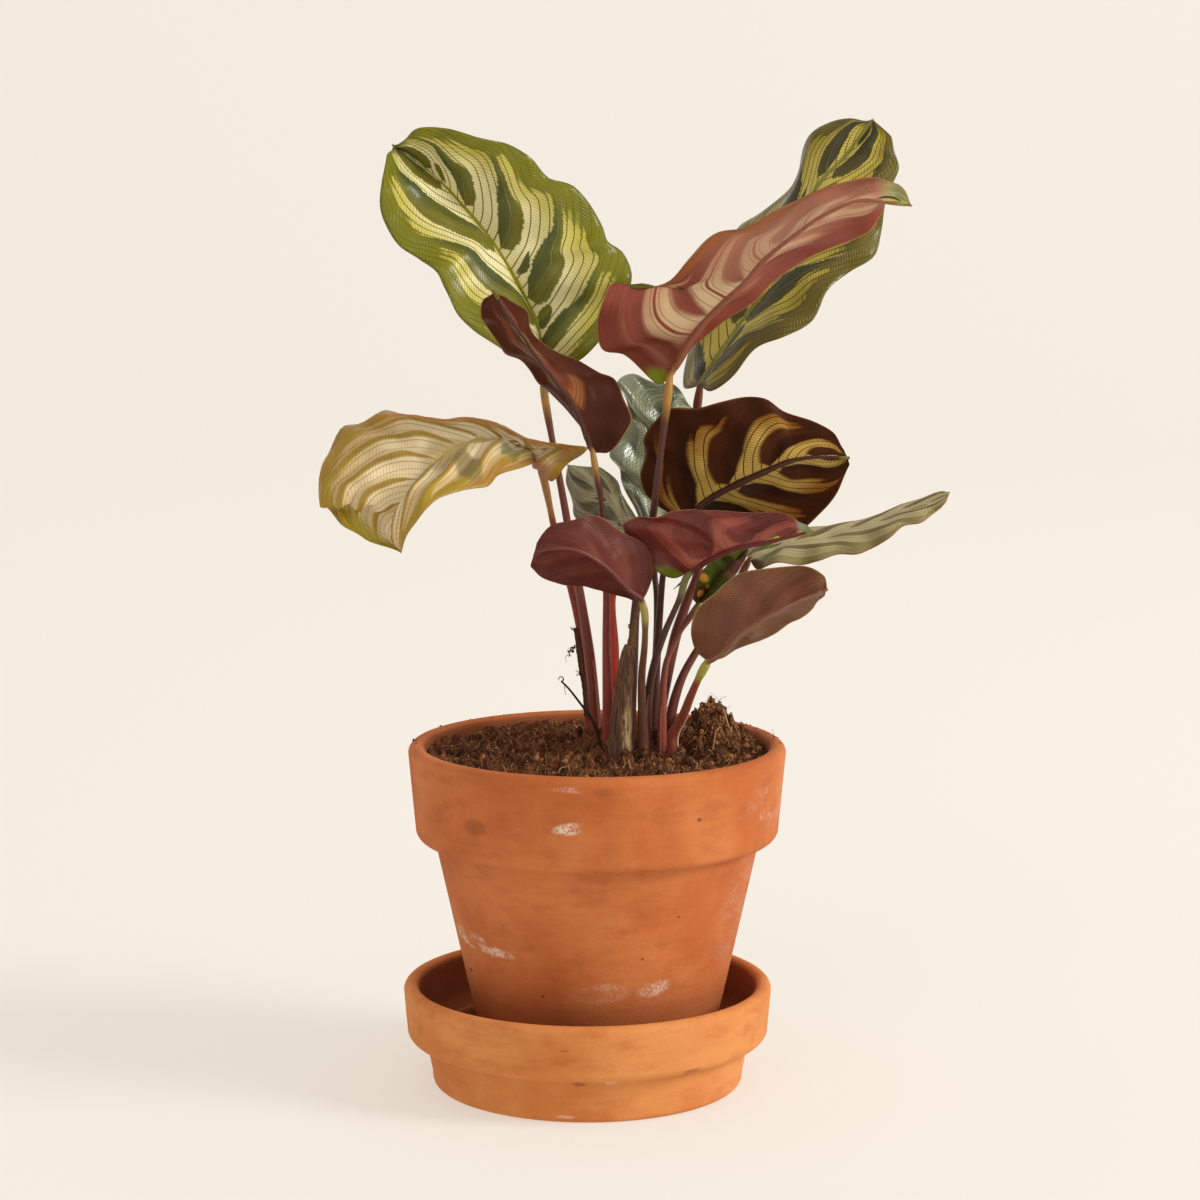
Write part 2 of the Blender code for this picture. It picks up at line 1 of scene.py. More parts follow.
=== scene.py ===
"""Looks of the potted calathea: its patterned leaves, stalks, soil, clay pot and saucer.

Lengths in the tables are millimetres, measured from the middle of the saucer's
underside: x to the right, y away from the viewer, z up. The leaves alone are picked in
pixels of the photograph. Finishes, lights and backdrop are in metres.
"""

import math

import bpy
import numpy as np
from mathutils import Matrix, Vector, noise


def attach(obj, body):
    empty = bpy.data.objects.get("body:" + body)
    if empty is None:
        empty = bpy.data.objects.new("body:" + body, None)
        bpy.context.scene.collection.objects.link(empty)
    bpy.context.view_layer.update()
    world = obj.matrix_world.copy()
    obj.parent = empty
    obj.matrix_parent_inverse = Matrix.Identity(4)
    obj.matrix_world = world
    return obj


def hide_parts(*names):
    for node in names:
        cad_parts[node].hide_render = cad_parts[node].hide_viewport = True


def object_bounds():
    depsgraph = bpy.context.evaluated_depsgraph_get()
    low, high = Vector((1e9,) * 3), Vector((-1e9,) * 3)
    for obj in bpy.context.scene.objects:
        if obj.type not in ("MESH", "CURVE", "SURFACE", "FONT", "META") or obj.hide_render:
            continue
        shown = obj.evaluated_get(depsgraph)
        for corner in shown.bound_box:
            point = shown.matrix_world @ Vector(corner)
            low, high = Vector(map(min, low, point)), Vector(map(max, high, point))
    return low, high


bl_info = {
    "name": "Potted Calathea",
    "version": (1, 0, 0),
    "blender": (4, 5, 0),
    "location": "View3D > Sidebar > Calathea",
    "description": "Dresses the potted calathea with its leaves, soil and clay",
    "category": "Object",
}

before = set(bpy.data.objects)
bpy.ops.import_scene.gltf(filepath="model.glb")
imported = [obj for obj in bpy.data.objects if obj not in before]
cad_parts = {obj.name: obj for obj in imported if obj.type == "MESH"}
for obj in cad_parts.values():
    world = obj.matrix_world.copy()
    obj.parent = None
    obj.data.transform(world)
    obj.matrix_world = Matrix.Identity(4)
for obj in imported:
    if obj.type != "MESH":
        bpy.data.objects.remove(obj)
CAD_BOX = [list(corner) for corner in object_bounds()]

MM = 0.001

# The pot: a rim band over a body that narrows to its foot.
POT_AXIS_X = 3.6
POT_RIM_TOP = 129.1
POT_RIM_RADIUS = 70.2
POT_BAND_FOOT_RADIUS = 67.6
POT_BAND_FOOT = 97.5
POT_BAND_ROUNDING = 4.0
POT_TAPER = 0.222
POT_BODY_RADIUS_AT_BAND = 60.2
POT_BODY_TOP = 91.5
POT_FOOT_ROUNDING = 2.0
POT_WALL = 6.5
POT_BORE = POT_RIM_RADIUS - POT_WALL
POT_FLOOR = 8.0
DRAIN_RADIUS = 9.0
GAP = 0.3
TURN_STEPS = 144

SAUCER_RIM_TOP = 38.4
SAUCER_RIM_RADIUS = 68.9
SAUCER_WALL = 5.8
SAUCER_BASE_RADIUS = 55.4
SAUCER_FOOT_ROUNDING = 2.6
SAUCER_FLOOR = 6.2
SAUCER_BAND_FOOT = 21.0
SAUCER_BAND_ROUNDING = 3.5
# Radius and height of the saucer's inner wall, outer band and undercut.
SAUCER_INSIDE = ((53.3, 8.2), (54.2, 10), (55, 16), (56, 18.3), (58, 19.6), (61, 20.6), (62.4, 24))
SAUCER_BAND = ((68.5, 31), (68.1, 26), (67.7, 22))
SAUCER_UNDERCUT = ((62.0, 17.2), (61.0, 16.6), (60.4, 15.5), (59.6, 11), (58.4, 5))

# Each heap of the soil: centre x and y, spread x and y, rise. The second is the high one,
# where crumbs and fibres, and the clods beside them, lie closest.
SOIL_LEVEL = 125.8
SOIL_HEAPS = ((15.0, 10.0, 17.0, 17.0, 5.0), (46.0, 12.0, 8.5, 11.0, 15.0))
HEAP_MIDDLE = (46.0, 12.0)
CLOD_MIDDLE = (45.0, 11.0)
SOIL_RINGS = 90
SOIL_STEPS = 240
# How far crumbs and fibres keep from the pot's wall.
CRUMB_ROOM = 2.0
FIBRE_ROOM = 1.0

# Heights where the stalks turn upright, enter the soil and end. Radii along the stalk, from
# the blade down, and along the rib, towards the tip.
STALK_STRAIGHT_TOP = 133.0
STALK_GROUND = 128.0
STALK_FOOT = 116.0
STALK_RADII = ((0.0, 1.0), (0.04, 1.3), (0.1, 1.25), (0.16, 1.0), (0.6, 1.45), (0.86, 2.1), (1.0, 2.1))
STALK_WIDEST = 2.1
STALK_POINTS = 72
STALK_SIDES = 12
RIB_RADII = ((0.0, 1.0), (0.5, 0.8), (0.92, 0.5), (1.0, 0.25))
# The number that colours a stalk is 0 at its foot, 1 under its joint and this at the blade.
JOINT_END = 1.2

# The blade's mesh: points along it and across each half, and shares of the rib that it spans.
LEAF_ROWS = 96
HALF_COLUMNS = 26
COLUMN_CROWDING = 1.35
FIRST_PLACE = 0.015
LAST_PLACE = 0.985
TIP_START = 0.93
# Its relief, as shares of the half width, then in millimetres.
BLADE_ARCH = 0.45
BLADE_RIPPLE = 0.14
MARGIN_SCALLOP = 0.018
CRUMPLE = 0.9
FULL_PLEAT_WIDTH = 18.0
RIB_RIDGE = 0.22
RIB_RIDGE_WIDTH = 0.9
EDGE_ROOM = 2.5
# Its finish: spacing of the cross veins in millimetres, the softness from which a pattern
# has fainter veins, and how much richer its colours are than their codes.
CROSS_VEIN_SPACING = 0.95
SOFT_PATTERN = 0.025
FACE_RICHNESS = 1.12

# The backdrop in metres: a floor that bends up into a wall.
FLOOR_FRONT = -4.0
FLOOR_BEND = 2.2
BEND_RADIUS = 1.2
WALL_TOP = 4.0
FLOOR_HALF_WIDTH = 5.0
# The second light, and the place that both lights point at, in metres.
FILL_SIZE = 1.6
FILL_COLOUR = (1.0, 0.95, 0.88)
LIT_PLACE = (0.0, 0.0, 0.15)
# Width of the camera's sensor in millimetres.
SENSOR_WIDTH = 36.0

# The camera that took the photograph, fitted by a least-squares search to the ellipses of
# the pot's rim and the saucer's rim and foot. The picture is 1200 pixels wide and high.
CAMERA_X = 4.7
CAMERA_AWAY = 1200.0
CAMERA_HEIGHT = 356.9
CAMERA_PITCH = 8.274
FOCAL_PIXELS = 3279.1
PHOTO_MIDDLE = 600.0

# Each leaf as picked on the photograph: pixels from the left and from the top, then
# the judged depth in millimetres behind the middle of the pot. The rib runs from the stalk
# to the tip, left and right are the margins seen from above with the tip ahead, the stalk is
# below the blade, and foot is where it enters the soil. wave is each margin's wave in
# millimetres, girth the stalk's share of its full width, and waves counts the ripples.
# For the left and the right half: cells counts the dark ovals along the rib, starts shifts
# the first one, sweep leans the side veins towards the tip, and late bends them only near
# the margin. Then pleat is the height of the folds, joint the length of the swollen joint
# under the blade, and the last three name the looks of both faces and the stalk.
LEAF_DEFAULTS = dict(starts=(0.0, 0.5), sweep=(1.0, 1.0), late=(0.0, 0.0))
LEAF_PICKS = {
    "leaf_back_left": dict(
        rib=[(544, 372, 12), (536, 325, 13), (514, 279, 15), (473, 219, 18), (433, 175, 20),
             (390, 141, 18)],
        left=[(524, 362, -4), (505, 352, -9.8), (461, 319, -11.5), (447, 291, -11), (438, 270),
              (418, 260, -6), (398, 245, -3), (385, 221, 0), (381, 196, 2), (384, 166, 7)],
        right=[(578, 361, 1), (599, 341, 2), (620, 308, 6), (630, 276, 9), (625, 251, 12), (610, 242),
               (601, 227, 16), (576, 185, 15), (548, 177), (526, 155, 10), (506, 142, 9),
               (477, 138, 8), (443, 129, 9), (418, 129, 11), (403, 139, 14)],
        stalk=[(543, 390, 12), (548, 409, 11), (566, 514, 12), (588, 641, 19)],
        foot=(596, 735, 20), wave=(-1.4, 1.6), girth=1.2,
        waves=4, cells=(3.55, 5.2), starts=(0.3, 0.65), sweep=(1.5, 1.0),
        pleat=0.6, joint=13, look="cream", under="mauve", stalk_finish="tan"),
    "leaf_curled": dict(
        rib=[(593, 451, -14), (573, 405, -26), (544, 365, -38), (515, 325, -50), (492, 289, -56)],
        left=[(608, 451, -7), (623, 437, -6), (632, 418, -7), (624, 397, -9), (615, 379, -11),
              (598, 372), (580, 361, -16), (560, 354), (543, 342, -25), (531, 329), (527, 312, -39),
              (512, 301, -47)],
        right=[(585, 433, -8), (553, 395, -11), (538, 384), (529, 369, -18), (521, 359),
               (505, 353, -26), (496, 341), (489, 329, -38), (481, 319, -44), (482, 305, -50)],
        stalk=[(594, 468, -15), (600, 501, -14), (606, 589, -4), (607, 641, 0)],
        foot=(608, 743, 3), wave=(0.8, -0.8), girth=1,
        waves=3, cells=(4.0, 4.0), starts=(0.47, 0.5),
        pleat=0.4, joint=7, look="deep", under="brown", stalk_finish="russet"),
    "leaf_front_right_tall": dict(
        rib=[(670, 375, -18), (696, 332, -26), (736, 291, -34), (780, 246, -40), (849, 204, -44),
             (917, 207, -40)],
        left=[(677, 368, -12), (690, 351, -6), (705, 335, -3), (722, 323, -5), (748, 306),
              (776, 279, -13), (801, 263), (833, 246, -22), (857, 239), (872, 232, -28),
              (881, 213, -31), (887, 196, -33)],
        right=[(660, 386, -13), (622, 354, -16), (601, 350, -18), (594, 328, -19), (600, 302, -21),
               (613, 284, -21), (638, 288, -20), (665, 283, -18), (690, 259, -18), (714, 234, -18),
               (745, 226, -18), (780, 207, -21), (810, 193, -23), (843, 184, -27), (872, 177, -30),
               (896, 182, -34), (911, 190, -38)],
        stalk=[(667, 400, -19), (658, 471, -15), (652, 516, -11), (644, 560, -7), (637, 605, -4),
               (633, 650, -1)],
        foot=(630, 741, 1.5), wave=(1, -1.2), girth=1.2,
        waves=4, cells=(4.2, 6.2), starts=(0.8, 0.51),
        late=(0.0, 0.6), pleat=0.6, joint=11, look="deep", under="rosy", stalk_finish="golden"),
    "leaf_back_right_tall": dict(
        rib=[(700, 386, 20), (724, 348, 22), (762, 296, 26), (815, 191, 34), (847, 155, 38),
             (876, 115, 40)],
        left=[(683, 386, 32), (691, 339, 42), (709, 280, 48), (737, 226, 53), (760, 213),
              (780, 199, 55), (794, 186), (800, 170), (803, 148, 53), (813, 132), (838, 120, 47),
              (861, 117, 43)],
        right=[(712, 391, 10), (735, 377, 5), (757, 350, 2), (785, 339), (810, 322, 3), (828, 290, 10),
               (850, 273), (873, 256), (880, 230, 25), (887, 203), (898, 170, 31), (893, 150),
               (890, 134, 35), (885, 122, 38)],
        stalk=[(697, 407, 22), (694, 449, 23), (699, 566, 24), (686, 605, 24), (675, 639, 24)],
        foot=(659, 732, 25), wave=(1.2, 1.4), girth=1.3,
        waves=4, cells=(4.0, 4.0), starts=(0.0, 0.91),
        pleat=0.6, joint=5, look="deep", under="rosy", stalk_finish="red_brown"),
    "leaf_left_drooping": dict(
        rib=[(537, 462, 0), (513, 444, -6), (474, 441, -18), (439, 461, -28), (399, 514, -38),
             (403, 557, -40)],
        left=[(529, 466, -13), (500, 476, -30), (485, 485, -38), (442, 496, -52), (426, 510, -56),
              (414, 525, -56), (402, 545, -50)],
        right=[(552, 483, -7), (568, 465, -8), (587, 449, -3), (566, 445, 1), (530, 441, 5),
               (510, 431, 7), (495, 423, 8), (468, 420, 8), (444, 424, 6), (424, 419, 4),
               (388, 412, 0), (376, 413, -2), (360, 424, -5), (343, 428, -8), (329, 447, -15),
               (321, 471, -22), (313, 486, -27), (320, 506, -32), (328, 508, -30), (342, 524, -34),
               (362, 538, -38), (384, 550, -40)],
        stalk=[(544, 480, 3), (559, 545, 16), (571, 590, 23), (581, 640, 27)],
        foot=(590, 730, 30), wave=(-1, 1.6), girth=1.2,
        waves=3, cells=(5.5, 9.0), starts=(0.88, 0.05),
        pleat=1.6, joint=22, look="straw", under="coppery", stalk_finish="red"),
    "leaf_right_broad": dict(
        rib=[(682, 521, 6), (712, 498, 2), (751, 478, -4), (801, 459, -12), (851, 459, -18)],
        left=[(700, 544, 17), (745, 545, 16), (806, 527, 5), (834, 495, -3), (849, 468, -10)],
        right=[(648, 497, 13), (641, 477, 13), (646, 455, 11), (643, 438, 8), (653, 422, 5),
               (668, 408, 2), (697, 409, 0), (718, 401, -1), (744, 396, -1), (765, 400, 0),
               (784, 413, 0), (815, 421, -1), (833, 431, -5), (841, 446, -9)],
        stalk=[(673, 545, 8), (665, 562, 9), (661.5, 580, 9.5), (660.5, 612, 9.5), (657, 655, 9.5)],
        foot=(653, 740, 9.5), wave=(0.8, 1), girth=1.1,
        waves=3, cells=(4.2, 4.2), starts=(0.43, 0.67),
        pleat=0.5, joint=9, look="deep", under="amber", stalk_finish="dark"),
    "leaf_front_middle": dict(
        rib=[(691, 571, -14), (708, 561, -22), (737, 548, -32), (778, 540, -42), (817, 530, -48)],
        left=[(673, 589, -4), (690, 574, -4), (712, 557, -6), (749, 543, -16), (790, 537, -32)],
        right=[(672, 579, -11), (656, 571, -12), (640, 550, -13), (623, 527, -16), (638, 519, -19),
               (655, 516, -22), (672, 509, -25), (700, 509, -25), (737, 512, -26), (783, 514, -34),
               (800, 521, -39), (813, 526, -44)],
        stalk=[(687, 578, -13), (680, 598, -12), (666, 630, -10), (656, 660, -8), (649, 688, -6)],
        foot=(646.5, 742, -4), wave=(0, 0.6), girth=1.1,
        waves=3, cells=(3.7, 3.7), starts=(0.6, 0.13),
        pleat=0.6, joint=9, look="deep", under="wine", stalk_finish="olive"),
    "leaf_front_left_small": dict(
        rib=[(642, 602, -22), (623, 585, -28), (604, 565, -34), (576, 549, -38), (548, 549, -37),
             (531, 556, -33)],
        left=[(649, 586, -16), (654, 566, -17), (646, 546, -17), (624, 532, -21), (603, 517, -24),
              (590, 514, -25), (574, 522, -27), (548, 527, -28), (536, 543, -30)],
        right=[(630, 600, -17), (590, 588, -21), (550, 581, -28), (532, 566, -31)],
        stalk=[(644, 616, -22), (645, 644, -19), (643, 679, -13)],
        foot=(643, 750, -10), wave=(0.4, 0), girth=1.1,
        waves=2, cells=(3.2, 3.2),
        pleat=0.3, joint=7, look="deep", under="maroon", stalk_finish="mossy"),
    "leaf_front_right_low": dict(
        rib=[(708, 661, -22), (722, 652, -26), (745, 630, -31), (785, 607, -36), (831, 589, -38)],
        left=[(721, 657, -15), (746, 645, -15), (763, 640, -17), (806, 613, -25), (821, 600, -31)],
        right=[(697, 650, -17), (692, 630, -20), (698, 609, -22), (713, 591, -25), (736, 577, -27),
               (765, 569, -28), (797, 565, -29), (815, 569, -31), (826, 580, -34)],
        stalk=[(700, 678, -20), (691, 697, -15), (682, 718, -10)],
        foot=(673, 748, -7), wave=(0.3, 0.5), girth=1.3,
        waves=2, cells=(3.2, 3.2),
        pleat=0.3, joint=7.5, look="deep", under="tawny", stalk_finish="lime"),
    "leaf_far_right": dict(
        rib=[(749, 560, 26), (791, 545, 30), (843, 533, 34), (904, 511, 36), (955, 491, 34)],
        left=[(746, 549, 35), (789, 535, 44), (818, 528, 48), (843, 527, 50), (869, 520, 50),
              (892, 514, 49), (909, 506, 47), (927, 500, 44), (943, 492, 40)],
        right=[(758, 569, 19), (777, 564, 17), (801, 566, 17), (820, 561, 17), (838, 554, 18),
               (858, 554, 19), (873, 549, 19), (890, 538, 20), (905, 527, 22), (920, 523, 24),
               (933, 515, 27), (944, 506, 29)],
        stalk=[(737, 586, 27), (717, 623, 26), (697, 652, 24), (681, 683, 21)],
        foot=(669, 736, 18), wave=(1.2, 1), girth=1.1,
        waves=3, cells=(4.0, 4.0), sweep=(1.3, 1.3),
        pleat=0.5, joint=6, look="dusty", under="coppery", stalk_finish="red_brown"),
    "leaf_back_middle": dict(
        rib=[(651, 548, 22), (657, 510, 25), (662, 469, 28), (675, 435, 29), (697, 408, 28)],
        left=[(638, 516, 24), (622, 485, 24), (619, 470, 24), (609, 452, 22), (626, 432, 22),
              (630, 418, 23), (624, 396, 22), (617, 381, 19), (632, 375, 22), (654, 383, 25),
              (674, 385, 27)],
        right=[(672, 546, 35), (693, 520, 42), (706, 481, 43), (711, 440, 40), (707, 415, 35)],
        stalk=[(653, 572, 22), (656, 595, 20), (656.5, 645, 18)],
        foot=(652.3, 737, 17.5), wave=(2.2, 1.5), girth=1.1,
        waves=2, cells=(3.4, 3.4), sweep=(1.2, 1.2),
        pleat=0.9, joint=6, look="silver", under="rosy", stalk_finish="dark"),
    "leaf_back_small": dict(
        rib=[(636, 544, 11), (625, 521, 14), (606, 494, 17), (585, 477, 19), (566, 465, 19)],
        left=[(609, 544, 19), (577, 519, 22), (569, 492, 24), (566, 474, 23)],
        right=[(641, 533, 12), (636, 517, 14), (622, 495, 17), (616, 480, 18), (600, 468, 20),
               (582, 465, 21)],
        stalk=[(627, 563, 12), (616, 582, 13), (612, 600, 14), (613, 650, 14)],
        foot=(613, 738, 14), wave=(0, 1), girth=1.45,
        waves=2, cells=(3.0, 3.0), sweep=(1.2, 1.2),
        pleat=0.9, joint=5, look="ashen", under="rosy", stalk_finish="scarlet"),
    "leaf_nibbled": dict(
        rib=[(698, 605, 4), (709, 594, 4), (722, 575, 4), (736, 562, 4), (750, 546, 3)],
        left=[(693, 598, 1), (701, 573, 0), (715, 558, 0), (736, 550, 0)],
        right=[(709, 599, -2), (726, 584, -4), (739, 570, -3), (747, 556, -1)],
        stalk=[(689, 617, 5), (679, 633, 4), (666, 666, 2)],
        foot=(662, 742, 1), wave=(0, 0), girth=1,
        waves=1, cells=(2.6, 2.6),
        pleat=0.3, joint=3, look="eaten", under="mauve", stalk_finish="pink"),
}

# Half width of the dark ovals, as a share of their spacing, on the way out to the margin.
LANCES = {
    "full": ((0.05, 0.0), (0.12, 0.20), (0.24, 0.28), (0.40, 0.26), (0.60, 0.10), (0.76, 0.08), (0.90, 0.46)),
    "long": ((0.03, 0.0), (0.10, 0.22), (0.25, 0.36), (0.45, 0.36), (0.60, 0.27), (0.74, 0.14), (0.88, 0.46)),
    "broad": ((0.04, 0.0), (0.12, 0.25), (0.30, 0.35), (0.50, 0.30), (0.64, 0.25), (0.78, 0.30), (0.88, 0.5)),
    "narrow": ((0.05, 0.0), (0.12, 0.16), (0.26, 0.22), (0.5, 0.2), (0.7, 0.16), (0.82, 0.2), (0.93, 0.45)),
    "thin": ((0.05, 0.0), (0.12, 0.08), (0.30, 0.14), (0.60, 0.13), (0.80, 0.2), (0.93, 0.45)),
    "slim": ((0.04, 0.0), (0.12, 0.10), (0.30, 0.19), (0.55, 0.19), (0.75, 0.28), (0.88, 0.5)),
    "veil": ((0.0, 0.2), (0.12, 0.30), (0.30, 0.40), (0.50, 0.41), (0.70, 0.42), (0.80, 0.45), (0.9, 0.5)),
}

# Faces of a blade. Colours: pale ground and its fringe, the tip side and the base side of
# the dark ovals, margin, rib, fine veins, rolled edge; on many faces the edge is a pale rim,
# partly its own colour and partly painted light shining through the thin margin. lance names
# the ovals' outline, and lance_left the left half's where it differs. fade is how far out
# the pale ground goes and how unevenly, small the share of gaps with a small oval, show the
# strength of the pale ground, fine the number of fine veins to a spacing, line their
# strength, rough and shine the gloss, and soft the softness of the pattern's edges. split,
# where a face has it, is the half width of a dark line along each pale stripe. Spots: across,
# along, half sizes, colour, strength. Windows, where a face has them, are the only places
# that show the pale ground.
FACE_DEFAULTS = dict(fade=(0.72, 0.2), small=0.0, show=1.0, line=0.3, rough=0.45, shine=0.3, spots=())
FACES = {
    "cream": dict(
        colours=("#efe6b4", "#c6bb60", "#474e2c", "#6c682a", "#75731f", "#aaa648", "#5a5222", "#6f6c34"),
        lance="full", lance_left="long", fade=(0.76, 0.16), small=0.5, fine=5, line=0.9,
        rough=0.3, shine=0.35, soft=0.018),
    "deep": dict(
        colours=("#cdbc62", "#9c8a34", "#272a1a", "#454020", "#645820", "#8a8440", "#3a2410", "#6c6640"),
        lance="full", fade=(0.66, 0.2), small=0.6, fine=6, line=0.9, rough=0.28, shine=0.32,
        soft=0.018),
    "straw": dict(
        colours=("#e6d6b0", "#ceb27e", "#967a3c", "#ae8a4a", "#a28838", "#b09c62", "#86643e", "#a6864e"),
        lance="thin", fade=(0.76, 0.2), small=0.2, show=0.95, fine=4, line=0.5, rough=0.36,
        soft=0.04,
        spots=((0.78, 0.34, 0.28, 0.26, "#b87a34", 0.8), (-0.92, 0.25, 0.18, 0.3, "#a87848", 0.6),
               # The next two, greenish dark patches, are partly the blade's own colour and partly painted
               # shadow falling across it.
               (-0.5, 0.22, 0.35, 0.05, "#75733a", 0.7), (-0.55, 0.46, 0.4, 0.06, "#74683a", 0.8),
               (0.9, 0.95, 0.6, 0.16, "#a4922c", 0.7), (0.0, 0.03, 1.5, 0.07, "#a05c42", 0.7),
               # The first spot below is painted shade beside the rib.
               (-0.05, 0.5, 0.3, 0.14, "#8c7440", 0.55), (0.95, 0.5, 0.12, 0.7, "#a07834", 0.5))),
    # Pale grey-green, partly the blade's own colour and partly painted sheen, the glossy reflection of the
    # bright surroundings.
    "silver": dict(
        colours=("#d6dabc", "#b4ba98", "#5f6a56", "#7a836c", "#828a72", "#bcc29e", "#535b48", "#a8a888"),
        lance="full", fade=(0.7, 0.3), small=0.4, show=0.75, fine=8, line=0.9, rough=0.24, shine=0.9,
        soft=0.04),
    "ashen": dict(
        colours=("#c0b890", "#a09a76", "#504e3a", "#645e46", "#6c664c", "#a49e7a", "#443e2c", "#989070"),
        lance="full", fade=(0.7, 0.3), small=0.2, show=0.8, fine=7, line=0.9, rough=0.3, shine=0.6,
        soft=0.05),
    "dusty": dict(
        colours=("#d6ca9e", "#b8ac80", "#6c6040", "#7c7048", "#8c8058", "#bdb188", "#5c4c2c", "#7c4c34"),
        lance="narrow", fade=(0.8, 0.25), small=0.2, show=0.9, fine=6, line=0.9, shine=0.2,
        soft=0.04,
        spots=((0.9, 0.05, 0.6, 0.07, "#4c2c20", 1.0), (0.1, 0.12, 0.6, 0.07, "#4c5a26", 0.7))),
    "eaten": dict(
        colours=("#7a8236", "#66702a", "#404c20", "#4c5624", "#566026", "#7c8040", "#3c461e", "#6c5a2c"),
        lance="full", fade=(0.6, 0.2), small=0.3, show=0.5, fine=6, line=0.4, rough=0.4,
        soft=0.02,
        spots=((-0.6, 0.2, 0.45, 0.12, "#59281a", 0.9), (-0.65, 0.2, 0.2, 0.05, "#d39a4e", 1.0),
               (-0.8, 0.37, 0.3, 0.05, "#c98f48", 1.0), (-0.45, 0.3, 0.1, 0.03, "#c98f48", 1.0),
               (0.4, 0.7, 0.9, 0.25, "#8a6254", 1.0))),
    "rosy": dict(
        colours=("#e4c8a0", "#c4906e", "#84443a", "#94503e", "#8a4638", "#905440", "#8a4c38", "#b98650"),
        lance="slim", fade=(0.80, 0.14), show=0.95, fine=5, line=0.5, rough=0.42,
        soft=0.06, split=0.045,
        windows=((0.40, 0.40, 0.60, 0.34), (0.30, 0.75, 0.4, 0.14), (-0.35, 0.55, 0.4, 0.19),
                 (-0.35, 0.78, 0.4, 0.12)),
        spots=((0.2, 0.72, 0.9, 0.36, "#c08a70", 0.6), (0.6, 0.05, 0.7, 0.17, "#64281a", 0.65),
               (0.95, 0.16, 0.3, 0.12, "#70301f", 0.75),
               (0.96, 0.58, 0.12, 0.27, "#a5683a", 0.6), (0.85, 0.02, 0.5, 0.07, "#7c8420", 1.0),
               (0.0, 1.0, 9.0, 0.11, "#a8a470", 1.0))),
    "brown": dict(
        colours=("#a87048", "#7c4a2e", "#4a2214", "#522616", "#4c2316", "#74382a", "#381a0c", "#a07850"),
        lance="narrow", fade=(0.6, 0.2), show=0.6, fine=7, line=0.9, shine=0.15,
        soft=0.09, windows=((-0.30, 0.34, 0.32, 0.13), (0.2, 0.7, 0.2, 0.1)),
        # The first spot, reddish on the ridge of the curl, is partly the blade's own colour and partly
        # painted highlight.
        spots=((-0.15, 0.72, 0.3, 0.4, "#844434", 0.6), (-0.6, 0.08, 0.6, 0.26, "#3a1c10", 0.8),
               (0.5, 0.5, 0.12, 0.45, "#94503e", 0.45))),
    # The underside of leaf_right_broad, lit from behind: its golden stripes are partly their own paler colour
    # and partly painted light shining through the blade.
    "amber": dict(
        colours=("#c9aa62", "#905c2a", "#32180c", "#482410", "#40200e", "#46280f", "#41200c", "#6c4420"),
        lance="broad", fade=(0.62, 0.32), small=0.3, show=0.97, fine=5, line=0.95, rough=0.5, shine=0.1,
        soft=0.045),
    "wine": dict(
        colours=("#b86c58", "#984e42", "#662d28", "#78382f", "#6a302a", "#7c3a30", "#742e2a", "#946a50"),
        lance="broad", fade=(0.8, 0.15), show=0.6, fine=5, rough=0.3, shine=0.4,
        soft=0.05,
        # The first spot, pinkish, is painted sheen on the blade.
        spots=((-0.2, 0.75, 0.5, 0.25, "#8c4440", 0.5), (0.0, 1.0, 9.0, 0.12, "#9caa8c", 1.0),
               (0.95, 0.06, 0.4, 0.09, "#66721f", 1.0))),
    "maroon": dict(
        colours=("#804a3a", "#744232", "#5e2e28", "#68362c", "#5e3029", "#6c3c32", "#4c2620", "#8c624a"),
        lance="veil", show=0.45, fine=4, rough=0.48, shine=0.2,
        soft=0.10, spots=((0.4, 0.5, 0.4, 0.5, "#6c3830", 0.3),)),
    "tawny": dict(
        colours=("#8e5c48", "#84543e", "#704536", "#784a38", "#744c34", "#865644", "#643c2c", "#b09068"),
        lance="veil", show=0.25, fine=4, rough=0.42,
        soft=0.10, spots=((-0.7, 0.5, 0.35, 0.5, "#7c5c38", 0.4),)),
    "coppery": dict(
        colours=("#c08458", "#b0704a", "#a85a3c", "#ac603c", "#a85c40", "#b0704a", "#8a4c34", "#b07c54"),
        lance="veil", show=0.4, fine=7,
        soft=0.06),
    "mauve": dict(
        colours=("#bd9478", "#a87a64", "#7e5046", "#86564a", "#80544a", "#8a4c40", "#946454", "#a88666"),
        lance="broad", small=0.1, show=0.7, fine=6,
        soft=0.05),
}

# Stalk colours: foot, middle, below the swollen joint, the joint, the rib beyond it, and
# the streaks.
STALKS = {
    "tan": ("#84402e", "#7a3c2e", "#744438", "#b0844a", "#8a8a40", "#3c1c16"),
    "dark": ("#54281e", "#4c241c", "#4a241c", "#9c7434", "#4a281c", "#241310"),
    "russet": ("#9c4434", "#8c392b", "#4a241c", "#9c7434", "#4a281c", "#30160f"),
    "golden": ("#5a3424", "#46281e", "#50281f", "#a87a34", "#8c5038", "#24130f"),
    "red_brown": ("#74382a", "#6c3228", "#6c362a", "#7c4630", "#77793f", "#3a1c16"),
    "red": ("#94463a", "#8c3e30", "#8c4430", "#a97c4a", "#a6996a", "#54201a"),
    "olive": ("#54301f", "#4c2c20", "#54362a", "#787442", "#662822", "#2c1810"),
    "mossy": ("#5c3426", "#643c2a", "#6c482e", "#9a8a3c", "#6c3830", "#341c14"),
    "lime": ("#944a38", "#8c4432", "#944e36", "#a8a044", "#84563e", "#4c241c"),
    "scarlet": ("#c83c2c", "#c84432", "#ac4030", "#8a7a40", "#7c8a6a", "#7a241c"),
    "pink": ("#984c3c", "#93483a", "#6a3a2e", "#7c5a3c", "#6c7434", "#4c241c"),
}

